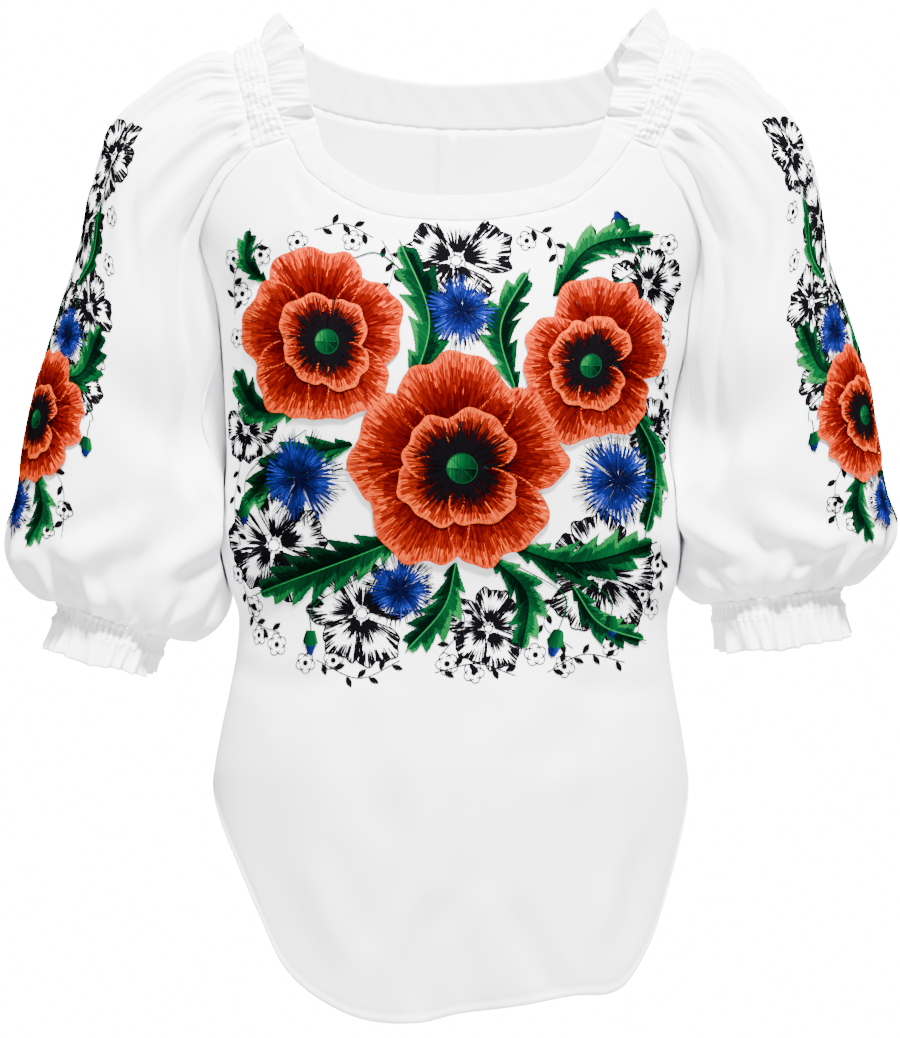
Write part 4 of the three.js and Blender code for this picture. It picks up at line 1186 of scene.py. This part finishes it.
def poppy_heart(work, middle, size, level, random, squash, tilt):
    """The green disc of a poppy with its seams, in a black fringe with knots."""
    disc = 0.13 * size
    turned = lambda radius, angle: squeeze(*(polar(middle, radius, angle) - middle).T, middle, squash, tilt)
    for reach, count, width in ((0.48, 130, 0.66), (0.34, 150, 0.9), (0.22, 130, 1.1)):
        angle = random.uniform(0, TAU, count)
        inner = disc * random.uniform(0.85, 1.05, count)
        outer = size * reach * random.uniform(0.72, 1.1, count)
        tips = turned(outer, angle + random.normal(0, 0.03, count))
        work.add(turned(inner, angle), tips, width, BLACK * 1.1, level)
    count = 46
    knots = random.uniform(0, TAU, count)
    far = size * random.uniform(0.22, 0.31, count)
    work.add(turned(far, knots), turned(far + 1.5, knots), 1.5, BLACK * 0.8, level + 0.12)
    rows = int(2 * disc / 0.62)
    offset = np.linspace(-0.97, 0.97, rows)
    half = disc * np.sqrt(1 - offset**2)
    for cut in (-1, 1):
        ends = (np.stack([middle[0] + offset * disc, middle[1] + up], -1) for up in (0 * offset, cut * half))
        a, b = (squeeze(*(end - middle).T, middle, squash, tilt) for end in ends)
        tone = 0.5 + 0.25 * cut * 0.6 - 0.4 * offset + random.normal(0, 0.08, rows)
        work.add(a, b, 0.85, ramp(LEAF_TONES, clamp(tone, 0, 1)), level + 0.25)
    for aim in np.linspace(0, math.pi, 5)[:-1]:
        a, b = (turned(disc * 0.9, np.array([end])) for end in (aim, aim + math.pi))
        work.add(a, b, 0.5, srgb(6, 52, 26), level + 0.42)
    work.line(turned(disc * 1.02, np.linspace(0, TAU, 40)), 0.9, srgb(6, 46, 22), level + 0.3, 2.0)


def leaf(work, path, width, lobes, level, seed, light):
    """A cut leaf: slanted stitches from its vein, their ends making forward lobes."""
    random = np.random.default_rng(seed)
    path = curve_path(*path, count=60)
    lengths = run_along(path)
    count = int(lengths[-1] / 0.66)
    s = np.linspace(0, 1, count)
    at = lambda share: read_path(path, lengths, share * lengths[-1])
    vein = at(s)
    ahead = unit(at(clamp(s + 0.02, 0, 1)) - at(clamp(s - 0.02, 0, 1)))
    aside = np.stack([-ahead[:, 1], ahead[:, 0]], -1)
    for side in (-1, 1):
        shift = 0.0 if side > 0 else 0.45
        tooth = (s * lobes + shift) % 1
        lobe = 0.42 + 0.58 * np.where(tooth < 0.82, (tooth / 0.82) ** 0.8, (1 - tooth) / 0.18)
        half = width * np.sin(math.pi * clamp(s * 1.02 + 0.02, 0, 1)) ** 0.6 * lobe
        half = half + random.normal(0, 0.25, count)
        reach = aside * side * 0.82 + ahead * 0.57
        tip = vein + reach * half[:, None]
        inner = vein + reach * (half * random.uniform(0.38, 0.62, count))[:, None]
        tone = 0.45 + 0.22 * side + light + 0.15 * np.sin(s * 9 + seed) + random.normal(0, 0.07, count)
        near = ramp(LEAF_TONES, clamp(tone - 0.22, 0, 1))
        far = ramp(LEAF_TONES, clamp(tone + 0.16 + 0.2 * (lobe - 0.7), 0, 1))
        work.add(inner, tip, 0.9, far, level + 0.04)
        work.add(vein, mix(inner, tip, 0.2), 0.9, near, level + 0.1)
    work.line(path, 1.1, ramp(LEAF_TONES, 0.02 if light > 0 else 0.95), level + 0.3, 3.2)


def cornflower(work, centre, size, level, seed):
    """A shaggy blue head: fans of pointed stitches round a dark middle."""
    random = np.random.default_rng(seed)
    centre = np.asarray(centre, float)
    count = 110
    angle = math.pi * random.uniform(-1, 1, count)
    reach = size * random.uniform(0.98, 1.18, count) * (1 + 0.05 * np.sin(5 * angle + seed))
    tips = polar(centre, reach, angle + random.normal(0, 0.03, count))
    work.add(polar(centre, size * 0.8, angle), tips, 0.6, BLACK, level - 0.12)
    florets, wide = 12, 0.3
    for k in range(florets):
        angle = math.pi * (2 * (k + 0.5) / florets - 1) + random.normal(0, 0.05)
        reach = size * random.uniform(0.82, 1.08)
        count = 40
        side = random.uniform(-1, 1, count)
        tooth = 0.82 + 0.18 * np.cos(side * math.pi * 4.5)
        a = polar(centre, size * random.uniform(0.12, 0.3, count), angle + side * 0.1)
        b = polar(centre, reach * tooth * random.uniform(0.78, 1.0, count), angle + side * wide)
        tone = clamp(0.62 + 0.3 * random.normal(0, 1, count) * 0.55 + 0.15 * (k % 2), 0, 1)
        work.add(mix(a, b, 0.4), b, 1.0, ramp(BLUE_TONES, tone), level + 0.25 + 0.05 * (k % 3))
        work.add(a, mix(a, b, 0.6), 0.8, ramp(BLUE_TONES, clamp(tone - 0.28, 0, 1)), level + 0.32)
    count = 90
    angle = random.uniform(0, TAU, count)
    reach = size * random.uniform(0.16, 0.42, count)
    feet = centre + random.normal(0, 0.5, (count, 2))
    tone = clamp(random.normal(0.12, 0.12, count), 0, 1)
    work.add(feet, polar(centre, reach, angle), 0.66, ramp(BLUE_TONES, tone), level + 0.5)


def drawn_petal(work, centre, aim, reach, spread, level, random):
    """A petal's edge in black thread, with strokes up from its foot and down from its rim."""
    a = np.linspace(-1, 1, 40)
    w = random.uniform(0, 6, 2)
    uneven = 1 + 0.05 * np.sin(7 * a + w[0]) + 0.03 * np.sin(15 * a + w[1])
    rim = reach * (1 - 0.1 * a**2 - 0.25 * np.abs(a) ** 7) * uneven
    feet = [polar(centre, 0.16 * reach, np.array([aim + side * spread])) for side in (-0.5, 0.5)]
    edge = np.concatenate([feet[0], polar(centre, rim, aim + a * spread), feet[1]])
    work.line(edge, 1.15, BLACK, level + 0.05)
    count = int(reach * 1.4)
    side = random.uniform(-0.92, 0.92, count)
    inner = reach * random.uniform(0.14, 0.2, count)
    outer = reach * random.uniform(0.3, 0.62, count)
    feet = polar(centre, inner, aim + 0.6 * side * spread)
    work.add(feet, polar(centre, outer, aim + 0.85 * side * spread), 0.84, BLACK, level)
    count = int(reach * 2.2)
    side = random.uniform(-0.95, 0.95, count)
    top = np.interp(side, a, rim)
    depth = reach * random.uniform(0.08, 0.36, count) * (0.6 + 0.7 * np.abs(side))
    ends = polar(centre, top - depth, aim + 0.93 * side * spread)
    work.add(polar(centre, top, aim + side * spread), ends, 0.9, BLACK, level)


def drawn_flower(work, centre, size, level, seed):
    """An open flower drawn in black thread: petal edges, shading strokes and a dotted middle."""
    random = np.random.default_rng(seed)
    for aim in (0.3, 1.5, 2.8, 4.0, 5.2):
        aim = aim + random.normal(0, 0.08)
        drawn_petal(work, centre, aim, size * random.uniform(0.88, 1.05), 0.66, level, random)
    dots = 34
    angle = random.uniform(0, TAU, dots)
    far = size * random.uniform(0.08, 0.26, dots)
    work.add(polar(centre, far, angle), polar(centre, far + 1.2, angle), 1.1, BLACK, level + 0.1)
    ring = polar(centre, size * 0.1, np.linspace(0, TAU, 16))
    work.line(ring, 0.8, BLACK, level + 0.1, 1.6)


def blossom(work, centre, size, level, turn):
    """A small outlined flower of five petals with a black middle."""
    for k in range(5):
        aim = turn + k * TAU / 5
        a = np.linspace(0, math.pi, 9)
        away, aside = 0.3 + 0.62 * np.sin(a) ** 0.75, 0.44 * np.cos(a)
        x = size * (away * math.cos(aim) - aside * math.sin(aim))
        z = size * (away * math.sin(aim) + aside * math.cos(aim))
        work.line(np.stack([centre[0] + x, centre[1] + z], -1), 0.8, BLACK, level, 2.4)
    a = np.linspace(0, math.pi, 6)[:-1]
    work.add(polar(centre, size * 0.24, a), polar(centre, size * 0.24, a + math.pi), 1.3, BLACK, level + 0.1)


def vine(work, path, level, leaves):
    """A thin black stem with small filled leaves on both sides."""
    size = 8.0
    path = curve_path(*path, count=40)
    work.line(path, 0.85, BLACK, level, 3.0)
    for k in range(leaves):
        i = int((k + 0.7) / (leaves + 0.4) * 39)
        ahead = unit(path[min(i + 1, 39)] - path[max(i - 1, 0)])
        aside = np.array([-ahead[1], ahead[0]]) * (1 if k % 2 else -1)
        aim = unit(ahead * 0.75 + aside * 0.8)
        foot = path[i] + aside * 0.6
        s = np.linspace(0.06, 0.96, 10)
        half = 0.27 * size * np.sin(math.pi * s) ** 0.8
        cross = np.array([-aim[1], aim[0]])
        spine = foot + aim[None] * (s * size)[:, None]
        work.add(spine - cross * half[:, None], spine + cross * half[:, None], 0.98, BLACK, level + 0.05)


def bud(work, path, size, level, seed):
    """A nodding bud: a green stem, a green hood and a blue tip."""
    random = np.random.default_rng(seed)
    path = curve_path(*path, count=30)
    work.line(path, 1.0, STEM_GREEN, level, 2.6)
    aim = unit(path[-1] - path[-4])
    cross = np.array([-aim[1], aim[0]])
    count = 26
    side = np.linspace(-1, 1, count)
    for low, high, tones, wide, foot_wide, tip_wide, extra in (
            (0.0, 0.68, LEAF_TONES, 0.34, 0.55, 1.0, 0.25), (0.5, 1.02, BLUE_TONES, 0.26, 1, 0.6, 0.1)):
        foot = path[-1] + aim * size * low + cross[None] * (side * size * wide * foot_wide)[:, None]
        reach = size * (high - 0.16 * side**2 + random.normal(0, 0.03, count))
        tip = path[-1] + aim[None] * reach[:, None] + cross[None] * (side * size * wide * tip_wide)[:, None]
        tone = clamp(0.5 + 0.3 * side + random.normal(0, 0.1, count), 0, 1)
        work.add(foot, tip, 0.75, ramp(tones, tone), level + extra)


# the layouts give places across and up in millimetres; a path has three points
PATH = "x1 z1 x2 z2 x3 z3"
CHEST_FLOWERS = Table("x z size", """
4 -126 37
-122 -318 40
-60 -364 38
104 -338 42
136 -140 27
26 -374 28
146 -240 24
-146 -240 24
""")
CHEST_VINES = Table(f"{PATH} leaves", """
-154 -160 -150 -132 -128 -110 7
-92 -104 -72 -100 -52 -110 5
-46 -112 -38 -128 -42 -148 5
52 -102 70 -112 74 -134 6
92 -120 104 -104 124 -98 5
154 -200 157 -226 150 -252 6
150 -318 152 -340 138 -358 6
-92 -396 -62 -408 -34 -396 7
-10 -404 18 -398 44 -406 6
66 -404 92 -392 122 -398 7
-152 -262 -157 -290 -150 -318 6
-150 -346 -142 -370 -120 -378 6
0 -350 10 -370 -6 -392 5
74 -350 64 -372 84 -388 5
""")
CHEST_BLOSSOMS = Table("x z size", """
-146 -146 8.6
-130 -120 8.4
-150 -122 7.6
-104 -112 8
112 -116 7.8
150 -112 7.8
150 -176 7.8
153 -204 8
-153 -206 8
-153 -176 7.4
-142 -360 8.6
-122 -386 8.6
-100 -398 8
-80 -396 8
-2 -398 8.6
16 -404 8
58 -392 8.6
78 -400 8.4
112 -386 8.6
136 -352 8
148 -332 8.4
128 -372 8.4
146 -362 8
-66 -112 8
52 -112 7.6
-154 -338 7.6
-138 -380 7.6
154 -282 7.6
""")
CHEST_LEAVES = Table(f"{PATH} width lobes light", """
-26 -214 -14 -166 -34 -112 20 5 0.0
-96 -222 -134 -226 -157 -196 18 5 0.05
-30 -312 -70 -328 -138 -352 24 7 -0.05
44 -320 86 -330 146 -316 22 6 0.08
124 -222 148 -262 136 -312 18 5 0.0
70 -150 96 -116 142 -106 17 6 0.1
4 -330 -4 -360 -30 -390 18 5 0.0
-66 -250 -112 -262 -150 -296 19 6 0.1
44 -214 34 -172 54 -132 17 5 -0.05
28 -326 52 -352 48 -390 17 5 0.06
-126 -140 -140 -124 -136 -102 11 4 0.05
84 -346 104 -372 140 -384 14 5 0.0
""")
CHEST_BUDS = Table(f"{PATH} size", """
42 -330 78 -352 74 -376 18
58 -316 108 -352 112 -366 16
104 -146 130 -126 120 -104 15
-98 -240 -142 -268 -146 -288 16
-16 -150 -46 -122 -66 -124 15
-44 -330 -92 -358 -96 -376 16
""")


def path_in(row, at=lambda x, z: (x, z)):
    return [at(row[f"x{k}"], row[f"z{k}"]) for k in (1, 2, 3)]


def front_spray(surface):
    """The big spray across the chest: three poppies, cornflowers, cut leaves and black drawn flowers."""
    black = Embroidery()
    for k, row in enumerate(CHEST_FLOWERS.rows):
        drawn_flower(black, (row["x"], row["z"]), row["size"], 0.05, 1 + k)
    for row in CHEST_VINES.rows:
        vine(black, path_in(row), 0.0, int(row["leaves"]))
    for k, row in enumerate(CHEST_BLOSSOMS.rows):
        blossom(black, (row["x"], row["z"]), row["size"], 0.02, 0.5 * k)

    greens = Embroidery()
    for k, row in enumerate(CHEST_LEAVES.rows):
        leaf(greens, path_in(row), row["width"], row["lobes"], 0.25 + 0.02 * k, 30 + k, row["light"])
    for k, row in enumerate(CHEST_BUDS.rows):
        bud(greens, path_in(row), row["size"], 0.45, 60 + k)
    blues = Embroidery()
    for k, (x, z, size, level) in enumerate((
            (-104, -272, 30, 0.75), (116, -274, 29, 0.75), (8, -160, 24, 0.5), (-34, -348, 22, 0.4))):
        cornflower(blues, (x, z), size, level, 71 + k)

    reds = Embroidery()
    poppy(reds, (-88, -178), 63, 0.55, 3, squash=0.94, tilt=0.6, heart=(5, -3))
    poppy(reds, (100, -194), 59, 0.6, 5, squash=0.9, tilt=-0.5, heart=(-5, -3))
    poppy(reds, (6, -264), 77, 0.85, 8, squash=0.96, tilt=1.2, heart=(2, -2))
    return [
        lay_stitches("black_stitches", black, surface, taper=0.6),
        lay_stitches("green_stitches", greens, surface),
        lay_stitches("red_stitches", reds, surface),
        lay_stitches("blue_stitches", blues, surface),
    ]


def sleeve_surface(hand, points, normals):
    """Maps a flat plan (across, up) in millimetres to the outer side of a sleeve."""
    rows, columns = points.shape[:2]
    t = np.linspace(0, 1, rows)
    middle = int(np.interp(SPRAY_TURN, head_turn(columns), np.arange(columns)))
    drift = np.round(mix(middle, SPRAY_TURN * columns, ease(mix(t, t**1.5, 0.5) * 1.2))).astype(int)
    spine = points[np.arange(rows), drift]
    down = run_along(spine)
    round_ = np.stack([run_along(ring) for ring in close_ring(points)])

    def surface(across, up):
        shape = across.shape
        u = (across * SIDE[hand]).ravel()
        row = clamp(np.interp(-up.ravel(), down, np.arange(rows)), 0, rows - 1.001)
        i = row.astype(int)
        column = np.empty_like(row)
        for k in np.unique(i):
            here = i == k
            target = round_[k, drift[k]] + u[here]
            column[here] = np.interp(target, round_[k], np.arange(columns + 1))
        place = read_grid(points, row, column).reshape(*shape, 3)
        return place, unit(read_grid(normals, row, column)).reshape(*shape, 3)

    return surface


SLEEVE_FLOWERS = Table("x z size", """
2 268 27
10 214 30
-22 172 27
24 158 24
-30 116 20
""")
SLEEVE_BLOSSOMS = Table("x z size", """
30 244 7.6
-24 240 7.2
-32 210 7.6
38 186 7.4
-42 142 7.2
44 132 7.6
-40 24 7.6
34 30 7.4
-30 6 7
""")
SLEEVE_VINES = Table(f"{PATH} leaves", """
-2 150 -12 224 6 296 8
-12 60 -36 40 -42 4 5
30 110 42 168 32 226 7
""")
SLEEVE_STEMS = Table(PATH, """
2 96 -6 160 0 236
6 96 18 150 12 206
""")
SLEEVE_LEAVES = Table(f"{PATH} width lobes seed light", """
2 112 30 126 46 166 19 6 4 0
-8 112 -30 126 -40 168 17 5 5 0.08
6 52 34 34 44 -2 18 5 6 -0.04
-8 46 -22 18 -14 -10 16 5 7 0.06
0 176 -12 206 -6 244 10 4 12 0
""")
SLEEVE_BUDS = Table(f"{PATH} size", """
8 120 46 118 50 98 16
-10 110 -44 104 -48 84 15
""")


def sleeve_spray(hand, surface):
    """A long spray down the outside of an arm, seen mirrored on the other arm."""
    side = SIDE[hand]
    low = -372 if hand == "left" else -360
    at = lambda x, z: (x * side, z + low)
    seed = 100 if hand == "left" else 200
    work = Embroidery()
    for row in SLEEVE_FLOWERS.rows:
        drawn_flower(work, at(row["x"], row["z"]), row["size"], 0.05, seed + int(row["z"]))
    for k, row in enumerate(SLEEVE_BLOSSOMS.rows):
        blossom(work, at(row["x"], row["z"]), row["size"], 0.02, 0.6 * k)
    for row in SLEEVE_VINES.rows:
        vine(work, path_in(row, at), 0.02, int(row["leaves"]))
    for row in SLEEVE_STEMS.rows:
        work.line(curve_path(*path_in(row, at)), 1.3, STEM_GREEN, 0.12)
    for row in SLEEVE_LEAVES.rows:
        leaf(work, path_in(row, at), row["width"], row["lobes"], 0.3, seed + int(row["seed"]), row["light"])
    for k, row in enumerate(SLEEVE_BUDS.rows):
        bud(work, path_in(row, at), row["size"], 0.35, seed + 8 + k)
    poppy(work, at(0, 80), 49, 0.6, seed // 100 + 11, squash=0.92, tilt=0.4 * side, heart=(2 * side, -2))
    cornflower(work, at(12, 16), 21, 0.5, seed + 10)
    cornflower(work, at(-6, 142), 21, 0.5, seed + 11)
    return lay_stitches(f"spray_{hand}", work, surface)


# ---------- sewing ----------
class Sewing:
    """Rows of plain stitches that follow paths on the cloth."""

    def __init__(self):
        self.rows = []

    def along(self, path, normals, stitch, gap, width, lift=0.1):
        lengths = run_along(path)
        count = max(int(lengths[-1] / (stitch + gap)), 1)
        starts = (np.arange(count) + 0.5) * lengths[-1] / count - stitch / 2
        marks = starts[:, None] + np.array([0, 0.5, 1])[None, :] * stitch
        points, outward = read_path(path, lengths, marks), unit(read_path(normals, lengths, marks))
        ahead = unit(points[:, 2] - points[:, 0])
        aside = unit(np.cross(outward[:, 1], ahead))
        spread = np.array([0.6, 1, 0.6])[None, :, None] * ROW_ACROSS[None, None, :] * width
        body = points[:, :, None] + aside[:, None, None] * spread[..., None]
        body = body + outward[:, :, None] * (lift + STITCH_LIFT[None] * width * 1.6)[..., None]
        self.rows.append(body.reshape(-1, 3))

    def mesh(self, name):
        vertices = np.concatenate(self.rows)
        quads = stitch_quads(len(vertices) // STITCH_POINTS)[:, [0, 3, 2, 1]]
        return make_mesh(name, vertices, quads, SEWING)


def seam_allowance():
    """The pressed seam allowance inside the centre back."""
    v = np.linspace(0, 1, 60)[:, None]
    width = np.linspace(0, ALLOWANCE_WIDTH, 8)[None, :]
    turn = BACK_SEAM_TURN - 4 + 0 * v + 0 * width
    top = band_place(-1, "seam", np.array([0.47]))[1][0] - 2
    z = mix(hem_height(BACK_SEAM_TURN - 4) + 5, top, v) + 0 * width
    radius = np.linalg.norm(body_point(turn, z)[..., :2], axis=-1)
    turn = 2 + (BACK_SEAM_TURN - 2) - width / radius * (2 / math.pi)
    normals = body_normal(turn, z)
    relief = body_relief(turn, body_point(turn, z)[..., 0], z, -1)
    curl = 1.1 * (width / ALLOWANCE_WIDTH) ** 2 * (1 + 0.3 * np.sin(z / 23))
    points = body_point(turn, z) + normals * (relief - CLOTH - 0.3 - curl)[..., None]
    return shell("seam_allowance", points, thick=0.5)


def hem_rows(sewing):
    """The row of stitches that holds the rolled hem, panel by panel."""
    turn = np.linspace(-1, 3, 700)
    turn = np.where(turn > 2, turn - 4, turn)
    order = np.argsort(turn)
    turn = turn[order]
    z = hem_height(turn) + HEM_STITCH_RISE
    for low, high in ((-2, -1), (-1, 1), (1, 2)):
        here = (turn >= low) & (turn <= high)
        face = 1 if low == -1 else -1
        normals = body_normal(turn[here], z[here])
        points = body_point(turn[here], z[here])
        relief = body_relief(turn[here], points[:, 0], z[here], face)
        sewing.along(points + normals * relief[:, None], normals, 2.4, 0.8, 0.34)


def elastic_rows(sewing, points, normals, count):
    """Rows of elastic thread spread over a gathered piece."""
    rows = points.shape[0] - 1
    for k in range(count):
        i = int(round((k / (count - 1)) * (rows - 2) + 1))
        sewing.along(points[i], normals[i], 1.5, 0.9, 0.4, 0.14)


def sewing_rows(grids):
    """All the white sewing that shows: neckbands, elastic, the frills' hems and the blouse's hem."""
    sewing = Sewing()
    for key in ("neckband_front", "neckband_back"):
        points, normals = grids[key]
        for row in (2, -2):
            sewing.along(points[row], normals[row], 2.3, 0.8, 0.34)
    for hand in SIDE:
        elastic_rows(sewing, *grids[f"shirring_{hand}"], 6)
        elastic_rows(sewing, *(close_ring(grid) for grid in grids[f"cuff_elastic_{hand}"]), 4)
        for key in (f"frill_{hand}", f"cuff_frill_{hand}"):
            points, normals = grids[key]
            sewing.along(points[-3], normals[-3], 1.6, 0.7, 0.26, 0.06)
    hem_rows(sewing)
    return sewing.mesh("white_sewing")


# ---------- the room ----------
def soft_light(name, place, aim, size, watts):
    data = bpy.data.lights.new(name, "AREA")
    data.shape = "RECTANGLE"
    data.size = data.size_y = size
    data.energy = watts
    lamp = bpy.data.objects.new(name, data)
    bpy.context.scene.collection.objects.link(lamp)
    lamp.location = place
    direction = np.asarray(aim, float) - np.asarray(place, float)
    yaw = math.atan2(direction[0], -direction[1])
    pitch = math.atan2(math.hypot(direction[0], direction[1]), -direction[2])
    lamp.rotation_euler = (pitch, 0, yaw + math.pi)


def room():
    corners, radius, level = 64, 3200, -1.32
    points = polar((0, 0), radius, np.linspace(0, TAU, corners + 1)[:-1])
    mesh = bpy.data.meshes.new("floor")
    mesh.from_pydata([(x * 0.001, y * 0.001, level) for x, y in points], [], [list(range(corners))])
    mesh.materials.append(surface_material("pale_floor", plain((208, 208, 211), 0.8)))
    floor = bpy.data.objects.new("floor", mesh)
    bpy.context.scene.collection.objects.link(floor)

    world = bpy.data.worlds.new("studio")
    bpy.context.scene.world = world
    sky = Nodes(world)
    place = sky.add("ShaderNodeTexCoord")["Generated"]
    ahead = sky.add("ShaderNodeSeparateXYZ", inputs={"Vector": place})["Y"]
    white_wall = sky.add("ShaderNodeMapRange", {"interpolation_type": "SMOOTHSTEP"},
                         {"Value": ahead, "From Min": 0.965, "From Max": 0.984})["Result"]
    sky.finish("Background", {"Color": (1, 1, 1, 1), "Strength": 0.62 + 17 * white_wall})

    soft_light("key", (0.35, -1.4, 2.15), (0, 0, -0.25), 0.45, 670)
    soft_light("fill", (-1.5, -0.9, 1.9), (-0.1, 0, -0.2), 0.8, 60)
    soft_light("back", (1.9, 1.5, 1.2), (0, 0, -0.3), 0.6, 110)


def camera():
    data = bpy.data.cameras.new("camera")
    data.sensor_width = 36
    data.lens = 138.7
    data.clip_end = 50
    eye = bpy.data.objects.new("camera", data)
    bpy.context.scene.collection.objects.link(eye)
    eye.location = (0, -2.8, -0.3003)
    eye.rotation_euler = (math.pi / 2, 0, 0)
    bpy.context.scene.camera = eye


# ---------- the blouse ----------
def cloth(piece, node):
    """Hides the node of the plain solids that a sheet stands in for, and attaches the sheet to the root."""
    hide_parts(node)
    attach(piece, "root")


def blouse():
    grids = {}
    band_front, grids["neckband_front"] = neckband("band_front", 1)
    band_back, grids["neckband_back"] = neckband("band_back", -1)
    front, grids["front"] = front_panel()
    backs = {hand: back_panel(hand)[0] for hand in SIDE}
    allowance = seam_allowance()
    parts = {}
    for hand in SIDE:
        for key, maker in (("shirring", shoulder_shirring), ("frill", shoulder_frill), ("sleeve", sleeve),
                           ("cuff_elastic", cuff_shirring), ("cuff_frill", cuff_frill)):
            parts[f"{key}_{hand}"], grids[f"{key}_{hand}"] = maker(hand)
    sprays = {hand: sleeve_spray(hand, sleeve_surface(hand, *grids[f"sleeve_{hand}"])) for hand in SIDE}
    chest = front_spray(front_surface(*grids["front"]))
    seams = sewing_rows(grids)
    for thread in (*chest, *sprays.values(), seams, allowance):
        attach(thread, "root")

    cloth(front, "front")
    for hand in SIDE:
        cloth(backs[hand], f"back_{hand}")
        cloth(parts[f"sleeve_{hand}"], f"sleeve_{hand}")
        cloth(parts[f"shirring_{hand}"], f"shoulder_shirring_{hand}")
        cloth(parts[f"frill_{hand}"], f"shoulder_frill_{hand}")
        cloth(parts[f"cuff_elastic_{hand}"], f"cuff_shirring_{hand}")
        cloth(parts[f"cuff_frill_{hand}"], f"cuff_frill_{hand}")
    cloth(band_front, "neckband_front")
    cloth(band_back, "neckband_back")


blouse()
room()
camera()
